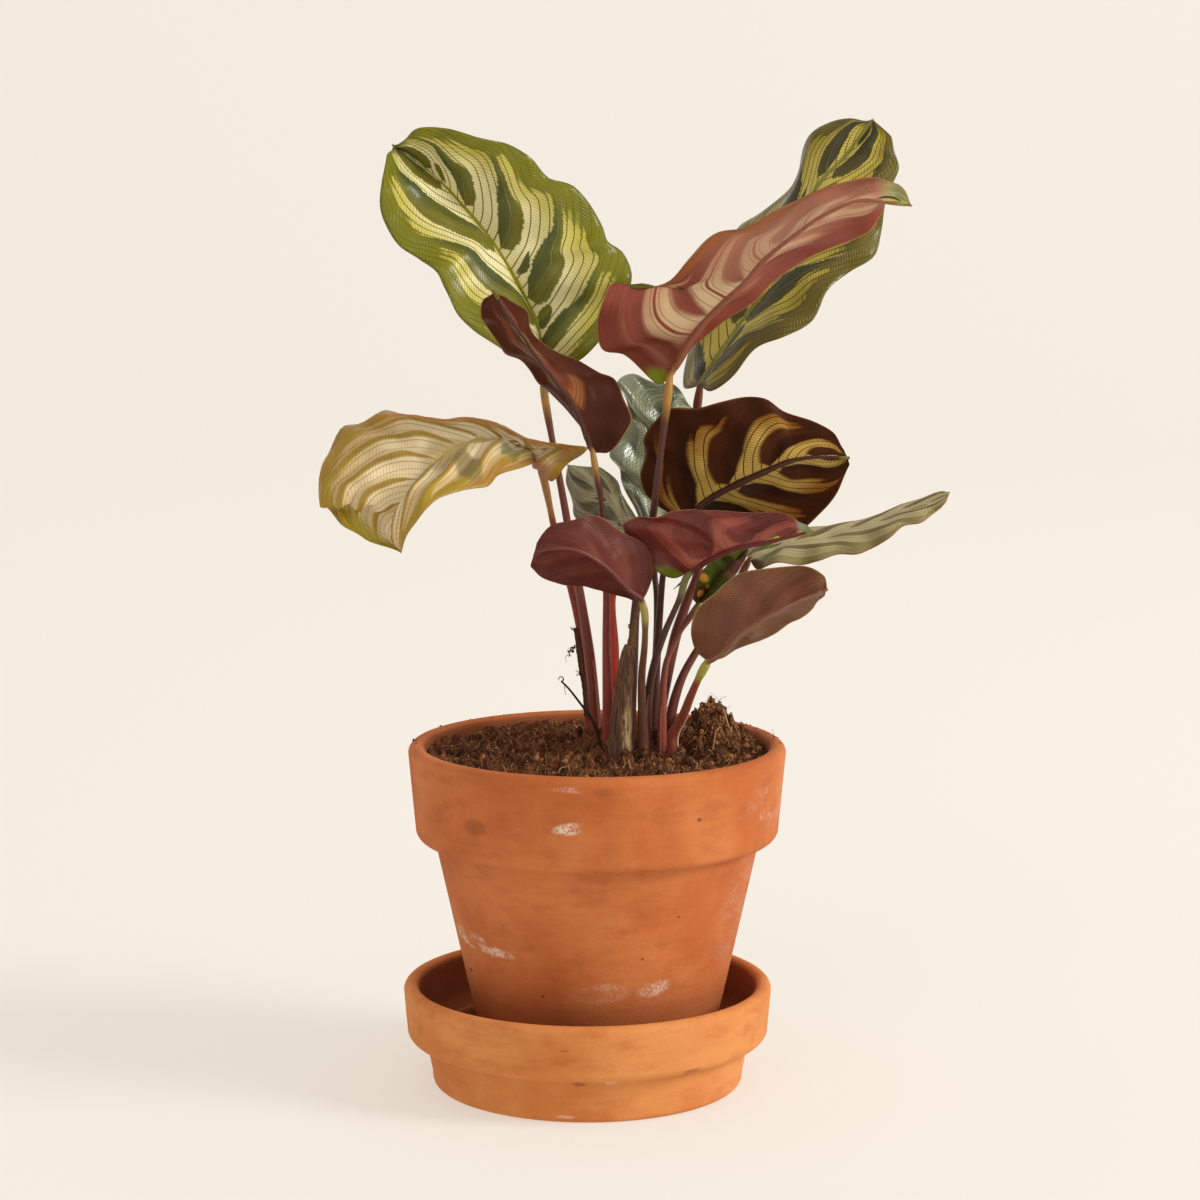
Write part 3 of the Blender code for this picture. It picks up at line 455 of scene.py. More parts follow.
# The papery dry sheath of a lost leaf, and a dead flower stalk bent over the soil.
SHEATH = [(15, -14, 168), (14.6, -13, 160), (13.6, -11, 150), (12.6, -9.8, 138)]
SHEATH_FOOT = (12.2, -9.5)
SHEATH_RADII = ((0.0, 1.2), (0.05, 2.2), (0.15, 3.2), (0.4, 3.9), (0.7, 4.6), (0.85, 4.6), (1.0, 4.2))
TWIG = [(-9.5, -4, 152.5), (-7, -4, 150), (-3, -5, 145), (2, -6, 138)]
TWIG_FOOT = (5.0, -7.0)
TWIG_RADII = ((0.0, 0.35), (0.3, 0.45), (1.0, 0.8))
# How far round the open sheath goes: from, to, number of points, and where its tear starts.
SHEATH_TURNS = (-0.6, 1.0, 26)
SHEATH_TORN_FROM = 22
SHEATH_POINTS = 60
SHEATH_THICKNESS = 0.35
TWIG_POINTS = 24

# Marks on the clay's front: centre x, height, half width, half height, slant, strength.
# The pale marks on the pot are partly whitish bloom of the clay and partly painted highlight: the thin band
# along the rim's front top edge and the soft patches on the lit right side.
POT_BLOOM_AND_HIGHLIGHTS = (
    (-6.0, 110.5, 7.0, 3.0, 0.6, 0.8), (-40.0, 60.0, 9.0, 5.0, -1.2, 0.8),
    (-36.0, 58.5, 14.0, 2.2, -1.6, 0.6), (24.0, 47.0, 7.0, 4.0, 0.5, 0.6),
    (62.0, 108.0, 2.0, 4.0, 0.0, 0.6), (5.0, 46.0, 12.0, 5.0, 0.3, 0.3),
    (-4.0, 125.0, 12.0, 1.5, 0.0, 0.4), (68.0, 112.0, 12.0, 16.0, 0.0, 0.22),
    (58.0, 70.0, 12.0, 30.0, 0.2, 0.16))
POT_SOOT = (
    (-40.0, 108.0, 5.0, 4.0, 0.0, 0.35), (6.0, 124.0, 5.0, 2.0, 0.0, 0.25),
    (40.0, 112.0, 1.0, 1.0, 0.0, 0.7), (-43.0, 47.0, 0.8, 0.7, 0.0, 0.8),
    (-16.0, 44.0, 0.9, 0.8, 0.0, 0.8), (20.0, 59.0, 0.7, 0.7, 0.0, 0.7), (33.0, 74.0, 0.8, 0.6, 0.0, 0.7))
SAUCER_BLOOM = (
    (9.0, 16.0, 3.0, 0.9, 0.0, 0.9), (21.0, 16.4, 2.0, 0.7, 0.0, 0.9), (-8.0, 2.5, 4.0, 0.8, 0.0, 0.5))
SAUCER_SOOT = (
    (-3.0, 15.5, 3.0, 1.2, 0.0, 0.5), (38.0, 19.0, 4.0, 1.0, 0.3, 0.5), (-8.0, 30.0, 2.0, 0.6, 0.2, 0.4),
    (50.0, 17.0, 8.0, 0.8, 0.0, 0.35))

# Where crumbs lie on the pot's rim, as angles from straight right.
RIM_CRUMB_ANGLES = (0.05, 0.35, 0.6, 1.75, 2.2, 2.75, 3.1)

# Where tufts of root hair stand: x, y.
HAIR_TUFTS = ((-30, -6), (-26, 4), (50, 12), (58, 10), (-44, 4), (-15, 22), (62, 2))

# Pale roots: start x, start y, heading, length, how far they arch up.
ROOTS = (
    (10, -26, 0.3, 12, 2.5), (16, -34, 2.2, 10, 1.5), (46, -6, 1.4, 9, 3.0), (-14, -30, 0.5, 11, 1.0),
    (-34, -22, 5.8, 12, 1.2), (30, -36, 0.1, 14, 0.8), (38, -24, 5.6, 10, 1.5), (-44, -10, 1.2, 8, 1.0),
    (4, -48, 0.2, 12, 0.8), (54, 2, 2.0, 10, 2.0), (-24, -44, 0.0, 9, 0.6))

# Shreds beside the left stalks and above the sheath, from the top down: points, widths, tint.
SCRAPS = (
    ([(-4.6, 25, 168), (-3.9, 25, 163), (-3.2, 25, 157), (-2.4, 25.5, 151),
      (-1.3, 26.4, 145), (-0.6, 27, 134)],
     ((0.0, 1.0), (1.0, 1.0)), 0.35),
    ([(19.0, -13.2, 188), (18.2, -13, 181), (16.9, -13, 173), (15.8, -12.6, 165), (15.2, -12, 157)],
     ((0.0, 0.3), (0.3, 0.9), (0.6, 1.9), (1.0, 2.4)), 0.5))
# Clumps that hang on the shreds: place, spread, count.
SCRAP_CLUMPS = (((-5.4, 24.6, 160.5), 0.6, 9), ((-7.0, 24.2, 158.5), 0.5, 7), ((-3.4, 24.8, 150.0), 0.5, 4),
                ((15.6, -4.6, 173.0), 0.5, 8), ((-5.2, 25.0, 167.5), 0.4, 3))

# Open sheath edges: stalk, direction in degrees, where it starts and ends on the stalk, tint.
SHEATH_EDGES = (
    ("leaf_front_right_low", -40, 0.45, 0.93, 0.8), ("leaf_far_right", -150, 0.70, 0.92, 1.0),
    ("leaf_back_small", -20, 0.55, 0.93, 0.3), ("leaf_front_middle", -100, 0.6, 0.9, 0.15),
    ("leaf_back_left", -60, 0.72, 0.95, 0.35), ("leaf_nibbled", -110, 0.6, 0.92, 0.25))


def seen_at(px, py, depth):
    """The point in millimetres that the photograph shows at a pixel, at a judged depth."""
    away = CAMERA_AWAY + depth
    slope = (PHOTO_MIDDLE - py) / FOCAL_PIXELS
    lean = math.radians(CAMERA_PITCH)
    rise = away * (slope * math.cos(lean) - math.sin(lean)) / (math.cos(lean) + slope * math.sin(lean))
    distance = away * math.cos(lean) - rise * math.sin(lean)
    return (CAMERA_X + (px - PHOTO_MIDDLE) / FOCAL_PIXELS * distance, depth, CAMERA_HEIGHT + rise)


def picked_line(picks, wave=0.0):
    """Whole millimetres along the picks.

    A pick with no depth lies evenly between its neighbours, and a margin waves to and fro
    in depth between its ends.
    """
    run = [0.0]
    for before, after in zip(picks, picks[1:]):
        run.append(run[-1] + math.hypot(after[0] - before[0], after[1] - before[1]))
    judged = [i for i, pick in enumerate(picks) if len(pick) == 3]
    depths = np.interp(run, [run[i] for i in judged], [picks[i][2] for i in judged])
    for i in range(1, len(picks) - 1):
        depths[i] += wave * (-1) ** i
    points = [seen_at(pick[0], pick[1], depth) for pick, depth in zip(picks, depths)]
    return [tuple(round(float(c)) for c in point) for point in points]


def measured(picks):
    """A leaf's lines in millimetres, worked out from its picks."""
    leaf = LEAF_DEFAULTS | picks
    foot = seen_at(*picks["foot"])
    leaf["foot"] = (round(foot[0], 1), foot[1])
    leaf["rib"] = picked_line(picks["rib"])
    leaf["stalk"] = picked_line(picks["stalk"])
    leaf["left"] = picked_line(picks["left"], picks["wave"][0])
    leaf["right"] = picked_line(picks["right"], picks["wave"][1])
    return leaf


LEAVES = {name: measured(picks) for name, picks in LEAF_PICKS.items()}


def paint(code):
    """Linear colour of a six figure colour code."""
    channels = [int(code[i:i + 2], 16) / 255 for i in (1, 3, 5)]
    return tuple(c / 12.92 if c <= 0.04045 else ((c + 0.055) / 1.055) ** 2.4 for c in channels)


def rich_paint(code):
    """Linear colour of a code, further from grey by the richness of the leaves."""
    colour = paint(code)
    grey = sum(colour) / 3
    return tuple(max(grey + (c - grey) * FACE_RICHNESS, 0.0) for c in colour)


def colour_property(name, description, code):
    return bpy.props.FloatVectorProperty(
        name=name, description=description, default=paint(code), subtype="COLOR", min=0.0, max=1.0)


def place_property(name, description, default):
    return bpy.props.FloatVectorProperty(name=name, description=description, default=default, subtype="XYZ")


def count_property(name, description, default):
    return bpy.props.IntProperty(name=name, description=description, default=default, min=0)


def number_property(name, description, default):
    return bpy.props.FloatProperty(name=name, description=description, default=default)


def length_property(name, description, default):
    return bpy.props.FloatProperty(
        name=name, description=description, default=default, unit="LENGTH", subtype="DISTANCE", precision=5)


class Field:
    """A value that changes over a surface. Its operators add Math nodes."""

    def __init__(self, finish, socket):
        self.finish = finish
        self.socket = socket

    def math(self, operation, *values):
        return self.finish.node("ShaderNodeMath", {"operation": operation}, values)

    def __add__(self, other):
        return self.math("ADD", self, other)

    def __sub__(self, other):
        return self.math("SUBTRACT", self, other)

    def __rsub__(self, other):
        return self.math("SUBTRACT", other, self)

    def __mul__(self, other):
        return self.math("MULTIPLY", self, other)

    def __truediv__(self, other):
        return self.math("DIVIDE", self, other)

    def __pow__(self, other):
        return self.math("POWER", self, other)

    def __abs__(self):
        return self.math("ABSOLUTE", self)

    __radd__ = __add__
    __rmul__ = __mul__

    def floor(self):
        return self.math("FLOOR", self)

    def most(self, other):
        return self.math("MAXIMUM", self, other)

    def ease(self, low, high):
        """0 below low, 1 above high and smooth between them."""
        return self.finish.node(
            "ShaderNodeMapRange", {"interpolation_type": "SMOOTHSTEP"},
            {"Value": self, "From Min": low, "From Max": high})


class Finish:
    """One material, and short ways to add the nodes that vary it."""

    def __init__(self, name, roughness, specular):
        self.material = bpy.data.materials.new(name)
        self.material.use_nodes = True
        self.tree = self.material.node_tree
        self.shader = self.tree.nodes["Principled BSDF"]
        self.shader.inputs["Roughness"].default_value = roughness
        self.shader.inputs["Specular IOR Level"].default_value = specular

    def node(self, kind, settings=None, inputs=(), output=0):
        """Any node: its settings first, then the values or links of its sockets."""
        made = self.tree.nodes.new(kind)
        for key, value in (settings or {}).items():
            if key == "stops":
                self.set_stops(made.color_ramp, value)
            else:
                setattr(made, key, value)
        pairs = inputs.items() if isinstance(inputs, dict) else enumerate(inputs)
        for key, value in pairs:
            if isinstance(value, Field):
                self.tree.links.new(value.socket, made.inputs[key])
            else:
                made.inputs[key].default_value = value
        return Field(self, made.outputs[output])

    @staticmethod
    def set_stops(ramp, stops):
        while len(ramp.elements) < len(stops):
            ramp.elements.new(0.5)
        for element, (place, colour) in zip(ramp.elements, stops):
            element.position = place
            element.color = (*colour, 1.0)

    def number(self, name):
        """A number stored at the mesh's points."""
        return self.node("ShaderNodeAttribute", {"attribute_name": name}, output="Fac")

    def place(self):
        return self.node("ShaderNodeTexCoord", output="Object")

    def axes(self, vector):
        split = self.node("ShaderNodeSeparateXYZ", inputs=[vector])
        return [Field(self, split.socket.node.outputs[i]) for i in range(3)]

    def stretched(self, vector, scale):
        return self.node("ShaderNodeVectorMath", {"operation": "MULTIPLY"}, [vector, scale])

    def noise(self, vector, scale, detail, roughness):
        return self.node("ShaderNodeTexNoise", None,
                         {"Vector": vector, "Scale": scale, "Detail": detail, "Roughness": roughness})

    def chance(self, x, y, z):
        """A number from 0 to 1 that is fixed for each place."""
        place = self.node("ShaderNodeCombineXYZ", inputs=[x, y, z])
        return self.node("ShaderNodeTexWhiteNoise", {"noise_dimensions": "3D"}, {"Vector": place})

    def mix(self, share, first, second):
        """Colour from first, at share 0, to second, at share 1."""
        first, second = [c if isinstance(c, Field) else (*c, 1.0) for c in (first, second)]
        return self.node("ShaderNodeMix", {"data_type": "RGBA"}, {0: share, 6: first, 7: second}, output=2)

    def ramp(self, value, *stops):
        return self.node("ShaderNodeValToRGB", {"stops": stops}, [value])

    def feed(self, name, field):
        self.tree.links.new(field.socket, self.shader.inputs[name])

    def bump(self, height, depth):
        """Relief of that depth in metres, for a height from 0 to 1."""
        relief = self.node("ShaderNodeBump", None, {"Distance": depth, "Height": height})
        self.feed("Normal", relief)


class Form:
    """Collects the points, faces and stored numbers of one piece."""

    def __init__(self):
        self.points = []
        self.faces = []
        self.slots = []
        self.numbers = {}
        self.count = 0

    def grid(self, points, looped=False, capped=False, slots=None, **numbers):
        """A skin over rows of points, each row's end joined to its start.

        Looped joins the last row to the first, and capped closes both with one face.
        """
        rows, columns = points.shape[:2]
        first = self.count
        self.points.append(points.reshape(-1, 3))
        self.count += rows * columns
        for name in numbers:
            self.numbers.setdefault(name, [np.zeros(first)])
        for name, kept in self.numbers.items():
            value = np.broadcast_to(np.asarray(numbers.get(name, 0.0), float), (rows, columns))
            kept.append(value.reshape(-1))
        for row in range(rows if looped else rows - 1):
            here = first + row * columns
            there = first + (row + 1) % rows * columns
            for column in range(columns):
                after = (column + 1) % columns
                self.faces.append((here + column, here + after, there + after, there + column))
                self.slots.append(slots[column] if slots else 0)
        if capped:
            last = first + (rows - 1) * columns
            self.faces.append(tuple(range(first, first + columns))[::-1])
            self.faces.append(tuple(range(last, last + columns)))
            self.slots += [slots[-1] if slots else 0] * 2

    def tube(self, line, radii, sides, **numbers):
        """A round bar along a line, with a radius at each of its points."""
        line = np.asarray(line, float)
        ahead = unit(np.gradient(line, axis=0))
        guide = np.array([0.37, 0.21, 0.91]) if abs(ahead[0][2]) < 0.9 else np.array([1.0, 0.1, 0.2])
        rings = []
        angles = math.tau * np.arange(sides) / sides
        for place, direction, radius in zip(line, ahead, radii):
            guide = unit(guide - direction * guide.dot(direction))
            other = np.cross(direction, guide)
            rings.append(place + radius * (np.outer(np.cos(angles), guide) + np.outer(np.sin(angles), other)))
        numbers = {name: np.asarray(value)[:, None] if np.ndim(value) else value
                   for name, value in numbers.items()}
        self.grid(np.array(rings), capped=True, **numbers)

    def make(self, name, finishes):
        """The piece as an object, riding on the plant's one body."""
        mesh = bpy.data.meshes.new(name)
        points = np.clip(np.concatenate(self.points) * MM, *CAD_BOX)
        mesh.from_pydata(points.tolist(), [], self.faces)
        for finish in finishes:
            mesh.materials.append(finish)
        mesh.polygons.foreach_set("material_index", self.slots)
        for kind, values in self.numbers.items():
            stored = mesh.attributes.new(kind, "FLOAT", "POINT")
            stored.data.foreach_set("value", np.concatenate(values).astype(np.float32))
        mesh.polygons.foreach_set("use_smooth", [True] * len(mesh.polygons))
        mesh.update()
        mesh.validate()
        made = bpy.data.objects.new(name, mesh)
        bpy.context.scene.collection.objects.link(made)
        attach(made, "root")
        return made


def unit(vectors):
    return vectors / np.linalg.norm(vectors, axis=-1, keepdims=True)


def blend_table(table, t):
    """Value at t along a table of (place, value) pairs."""
    return np.interp(t, [row[0] for row in table], [row[1] for row in table])


def smooth_curve(points, places):
    """Points of a smooth curve through the given points, at places from 0 to 1."""
    p = np.asarray(points, float)
    knots = np.concatenate([[0.0], np.cumsum(np.linalg.norm(np.diff(p, axis=0), axis=1))])
    knots /= knots[-1]
    last = len(p) - 1
    slopes = np.empty_like(p)
    for i in range(last + 1):
        before = max(i - 1, 0)
        after = min(i + 1, last)
        slopes[i] = (p[after] - p[before]) / (knots[after] - knots[before])
    out = []
    for place in places:
        i = min(max(int(np.searchsorted(knots, place, side="right")) - 1, 0), last - 1)
        h = knots[i + 1] - knots[i]
        s = (place - knots[i]) / h
        out.append((2 * s**3 - 3 * s**2 + 1) * p[i] + (s**3 - 2 * s**2 + s) * h * slopes[i]
                   + (3 * s**2 - 2 * s**3) * p[i + 1] + (s**3 - s**2) * h * slopes[i + 1])
    return np.array(out)


def arc(centre_r, centre_z, radius, start, end, steps):
    """Points of a profile arc, angles in degrees from straight out towards up."""
    points = []
    for i in range(steps + 1):
        angle = math.radians(start + (end - start) * i / steps)
        points.append((centre_r + radius * math.cos(angle), centre_z + radius * math.sin(angle)))
    return points


def lathe(form, profile, axis_x, looped):
    """Turn a profile of (radius, height) points about the vertical at axis_x."""
    angles = -math.tau * np.arange(TURN_STEPS) / TURN_STEPS
    profile = np.array(profile, float)
    rows = np.empty((len(profile), TURN_STEPS, 3))
    rows[..., 0] = axis_x + profile[:, :1] * np.cos(angles)
    rows[..., 1] = profile[:, :1] * np.sin(angles)
    rows[..., 2] = profile[:, 1:]
    form.grid(rows, looped=looped, capped=not looped)


# Clay


def pot_body_radius(height):
    return POT_BODY_RADIUS_AT_BAND - POT_TAPER * (POT_BODY_TOP - height)


def pot_profile():
    """Rim band, undercut, tapered body and drain hole, down the outside and up the inside."""
    foot = SAUCER_FLOOR + GAP
    lip = POT_WALL / 2
    band_top = POT_RIM_TOP - lip
    draw_in = POT_RIM_RADIUS - POT_BAND_FOOT_RADIUS
    floor_top = foot + POT_FLOOR
    outer = arc(POT_RIM_RADIUS - lip, band_top, lip, 90, 0, 10)
    outer += [(POT_RIM_RADIUS - draw_in * i / 6, band_top - (band_top - POT_BAND_FOOT) * i / 6)
              for i in range(1, 6)]
    outer += arc(POT_BAND_FOOT_RADIUS - POT_BAND_ROUNDING, POT_BAND_FOOT, POT_BAND_ROUNDING, 0, -90, 8)
    outer += [(POT_BODY_RADIUS_AT_BAND + out, POT_BODY_TOP + up) for out, up in ((1.6, 1.8), (0.5, 0.8))]
    outer += [(pot_body_radius(height), height) for height in POT_BODY_TOP - 1.5 - 10.0 * np.arange(9)]
    outer += arc(pot_body_radius(foot + 2) - 2.2, foot + 2, POT_FOOT_ROUNDING, 0, -90, 5)
    outer += [(DRAIN_RADIUS + 1, foot), (DRAIN_RADIUS, foot + 1)]
    inner = [(DRAIN_RADIUS, floor_top), (pot_body_radius(floor_top) - POT_WALL - 2, floor_top),
             (pot_body_radius(floor_top + 2) - POT_WALL, floor_top + 2),
             (pot_body_radius(POT_BODY_TOP) - POT_WALL, POT_BODY_TOP - 2),
             (POT_BORE - 1.5, POT_BAND_FOOT), (POT_BORE - 0.6, 115)]
    inner += arc(POT_RIM_RADIUS - lip, band_top, lip, 180, 90, 10)[:-1]
    return outer + inner


def saucer_profile():
    """Floor, inner wall, rounded rim, band, undercut and foot, from the middle outwards and back."""
    lip = SAUCER_WALL / 2
    profile = [(0.01, SAUCER_FLOOR), (25, SAUCER_FLOOR), (50, SAUCER_FLOOR), (52, SAUCER_FLOOR + 0.6)]
    profile += SAUCER_INSIDE
    profile += arc(SAUCER_RIM_RADIUS - lip, SAUCER_RIM_TOP - lip, lip, 180, 0, 16)
    profile += SAUCER_BAND
    profile += arc(SAUCER_RIM_RADIUS - 4.7, SAUCER_BAND_FOOT, SAUCER_BAND_ROUNDING, -10, -90, 7)
    profile += SAUCER_UNDERCUT
    profile += arc(SAUCER_BASE_RADIUS + 0.2, SAUCER_FOOT_ROUNDING, SAUCER_FOOT_ROUNDING, -10, -90, 5)
    profile += [(30, 0), (0.01, 0)]
    return profile


def blot(across, height, centre, level, half_width, half_height, slant):
    """1 inside a soft patch of the clay's side, whose place and half sizes are in millimetres."""
    lean = (height - level * MM) * slant
    x = (across - centre * MM - lean) / (half_width * MM)
    z = (height - level * MM) / (half_height * MM)
    return 1 - (x * x + z * z).ease(0.15, 1.0)


def marked(colour, marks, code, x, z, where):
    """The colour with a soft patch of another at each mark, as strong as the mark says."""
    for *patch, share in marks:
        colour = colour.finish.mix(blot(x, z, *patch) * where * share, colour, paint(code))
    return colour


def clay_base(finish, colours):
    """Mottled fired clay: the colour, and the masks and places that marks are drawn with."""
    place = finish.place()
    x, y, z = finish.axes(place)
    broad = finish.noise(place, 22, 5, 0.6)
    cloud = finish.noise(finish.stretched(place, (1.0, 1.0, 2.4)), 60, 4, 0.6)
    grain = finish.noise(place, 900, 3, 0.7)
    turning = finish.noise(finish.stretched(place, (0.02, 0.02, 1.0)), 620, 3, 0.6)
    colour = finish.mix(broad.ease(0.32, 0.68), colours[0], colours[1])
    colour = finish.mix(cloud.ease(0.45, 0.75) * 0.5, colour, colours[2])
    colour = finish.mix(grain.ease(0.60, 0.80) * 0.22, colour, colours[3])
    colour = finish.mix(turning.ease(0.5, 0.8) * 0.12, colour, colours[3])
    pits = finish.noise(place, 2400, 2, 0.5)
    finish.bump(0.45 * grain + 0.25 * turning + 0.3 * pits, 0.00035)
    return colour, x, y, z, cloud, grain


def pot_finish(clay):
    finish = Finish("pot_clay", 0.82, 0.25)
    colours = [tuple(c) for c in (clay.pot_colour, clay.pot_light, clay.pot_dark, clay.pot_shade)]
    colour, x, y, z, cloud, grain = clay_base(finish, colours)
    front = 1 - y.ease(-0.012, 0.004)
    # Darker towards the foot of the pot.
    darker_low = 1 - (z + (cloud - 0.5) * 0.014).ease(0.022, 0.052)
    colour = finish.mix(darker_low * 0.6, colour, paint("#8c4220"))
    # Pale mottled marks on the front: bloom of the clay, and painted highlights along the rim's front top
    # edge and on the lit right side.
    pale_mottle = cloud.ease(0.42, 0.62) * grain.ease(0.35, 0.6)
    colour = marked(colour, POT_BLOOM_AND_HIGHLIGHTS, "#efdccb", x, z, pale_mottle * front)
    colour = marked(colour, POT_SOOT, "#5e3322", x, z, front)
    # Painted shade on the pot's inner wall, above the soil.
    off_axis = ((x - POT_AXIS_X * MM) ** 2 + y * y) ** 0.5
    inside = z.ease(0.112, 0.124) * (1 - off_axis.ease(0.0640, 0.0652))
    finish.feed("Base Color", finish.mix(inside * 0.6, colour, paint("#6e3a24")))
    return finish.material


def saucer_finish(clay):
    finish = Finish("saucer_clay", 0.85, 0.25)
    colours = [tuple(c) for c in (clay.saucer_colour, clay.saucer_light, clay.pot_colour, clay.pot_shade)]
    colour, x, y, z, cloud, grain = clay_base(finish, colours)
    radius = (x * x + y * y) ** 0.5
    front = 1 - y.ease(-0.012, 0.004)
    # Painted shade inside the saucer, on its floor and inner wall, in the gap around the pot.
    well_edge = 0.0566 + z.ease(0.0185, 0.0205) * 0.0072
    shaded_well = (1 - (radius - well_edge).ease(-0.001, 0.0006)) * z.ease(0.003, 0.006)
    colour = finish.mix(shaded_well * 0.8, colour, paint("#7a4226"))
    pale_mottle = cloud.ease(0.40, 0.60) * grain.ease(0.3, 0.55)
    colour = marked(colour, SAUCER_BLOOM, "#f2e2d0", x, z, pale_mottle * front)
    colour = marked(colour, SAUCER_SOOT, "#7a4a30", x, z, front)
    finish.feed("Base Color", colour)
    return finish.material


def make_clay(clay):
    pot = Form()
    lathe(pot, pot_profile(), POT_AXIS_X, True)
    made = pot.make("clay_pot", [pot_finish(clay)])
    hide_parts("pot")
    dish = Form()
    lathe(dish, saucer_profile(), 0.0, False)
    made = dish.make("clay_saucer", [saucer_finish(clay)])
    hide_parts("saucer")


# Soil


def soil_height(x, y):
    """Height of the crumbly surface over a place in the pot, x from the floor's origin."""
    height = SOIL_LEVEL
    for centre_x, centre_y, spread_x, spread_y, rise in SOIL_HEAPS:
        away = ((x - centre_x) / spread_x) ** 2 + ((y - centre_y) / spread_y) ** 2
        height += rise * math.exp(-away / 2)
    lumps = math.sin(0.41 * x + 0.9) * math.sin(0.37 * y + 0.4) + 0.6 * math.sin(0.73 * x - 0.66 * y)
    return height + 1.2 * lumps


def crumbly_height(x, y):
    """Soil height with its crumbs and hollows, held low by the pot's wall."""
    away = math.hypot(x - POT_AXIS_X, y)
    edge = min(max((POT_BORE - away) / 6, 0.0), 1.0)
    height = SOIL_LEVEL + (soil_height(x, y) - SOIL_LEVEL) * (0.3 + 0.7 * edge)
    coarse = noise.noise(Vector((x * 0.16, y * 0.16, 3.1)))
    crumb = noise.turbulence(Vector((x * 0.26, y * 0.26, 7.7)), 5, False)
    return height + (3.6 * coarse + 4.8 * (crumb - 0.62)) * (0.4 + 0.6 * edge)


def soil_finish(soil):
    finish = Finish("crumbly_soil", 0.95, 0.15)
    place = finish.place()
    lumps = finish.noise(place, 170, 6, 0.7)
    grains = finish.noise(place, 900, 4, 0.75)
    strands = finish.noise(finish.stretched(place, (1.0, 0.35, 1.0)), 1300, 3, 0.6)
    # The dark colour where the lumps are low is partly the soil's own and partly painted shade in the
    # hollows.
    colour = finish.mix(lumps.ease(0.35, 0.65), tuple(soil.dark_colour), tuple(soil.colour))
    colour = finish.mix(grains.ease(0.50, 0.72) * 0.7, colour, tuple(soil.light_colour))
    colour = finish.mix(strands.ease(0.62, 0.74) * 0.7, colour, tuple(soil.fibre_colour))
    finish.feed("Base Color", colour)
    finish.bump(0.6 * lumps + 0.4 * grains, 0.0016)
    return finish.material


def fibre_finish(name, dark, light):
    """Bits that each have a tint of their own, from dark to light."""
    finish = Finish(name, 0.85, 0.2)
    tint = finish.number("tint")
    grain = finish.noise(finish.place(), 1500, 3, 0.6)
    colour = finish.mix((tint + (grain - 0.5) * 0.5).ease(0.0, 1.0), dark, light)
    finish.feed("Base Color", colour)
    return finish.material


def make_soil(soil):
    rng = np.random.default_rng(soil.seed)
    rim = POT_BORE - GAP - 0.1
    foot = SAUCER_FLOOR + GAP + POT_FLOOR + GAP
    angles = -math.tau * np.arange(SOIL_STEPS) / SOIL_STEPS
    rows = []
    for radius in np.linspace(0.01, rim, SOIL_RINGS):
        ring = [(POT_AXIS_X + radius * math.cos(a), radius * math.sin(a)) for a in angles]
        rows.append([(x, y, crumbly_height(x, y)) for x, y in ring])
    lower = [(rim - 1.5, POT_BAND_FOOT + 0.5),
             (pot_body_radius(POT_BODY_TOP) - POT_WALL - GAP, POT_BODY_TOP - 2),
             (pot_body_radius(foot + 2) - POT_WALL - GAP - 0.2, foot + 2),
             (pot_body_radius(foot) - POT_WALL - 3, foot), (0.01, foot)]
    for radius, height in lower:
        rows.append([(POT_AXIS_X + radius * math.cos(a), radius * math.sin(a), height) for a in angles])
    body = Form()
    body.grid(np.array(rows, float), capped=True)
    made = body.make("soil_body", [soil_finish(soil)])
    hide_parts("soil")
    for piece in (make_crumbs(soil, rng), make_fibres(soil, rng), make_roots(rng)):
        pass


def place_on_soil(rng, reach=1.0):
    """A random place inside the pot."""
    radius = (POT_BORE - CRUMB_ROOM) * math.sqrt(rng.random()) * reach
    angle = rng.random() * math.tau
    return POT_AXIS_X + radius * math.cos(angle), radius * math.sin(angle)


def place_on_heap(rng, middle, spread_x, spread_y):
    """A random place about the middle of the high heap."""
    return middle[0] + rng.normal() * spread_x, middle[1] + rng.normal() * spread_y


def lump(form, rng, centre, size, tint, rings=4, sides=6):
    """One crumb or clod: a small ball of rings, squashed and dented."""
    axes = size * rng.uniform(0.6, 1.25, 3)
    turn = rng.random() * math.tau
    rows = []
    for i in range(rings):
        rise = math.pi * (i + 0.5) / rings
        ring = []
        for j in range(sides):
            angle = turn + math.tau * j / sides
            dent = rng.uniform(0.65, 1.3)
            ring.append((centre[0] + axes[0] * dent * math.sin(rise) * math.cos(angle),
                         centre[1] + axes[1] * dent * math.sin(rise) * math.sin(angle),
                         centre[2] - axes[2] * dent * math.cos(rise)))
        rows.append(ring)
    form.grid(np.array(rows), capped=True, tint=tint)


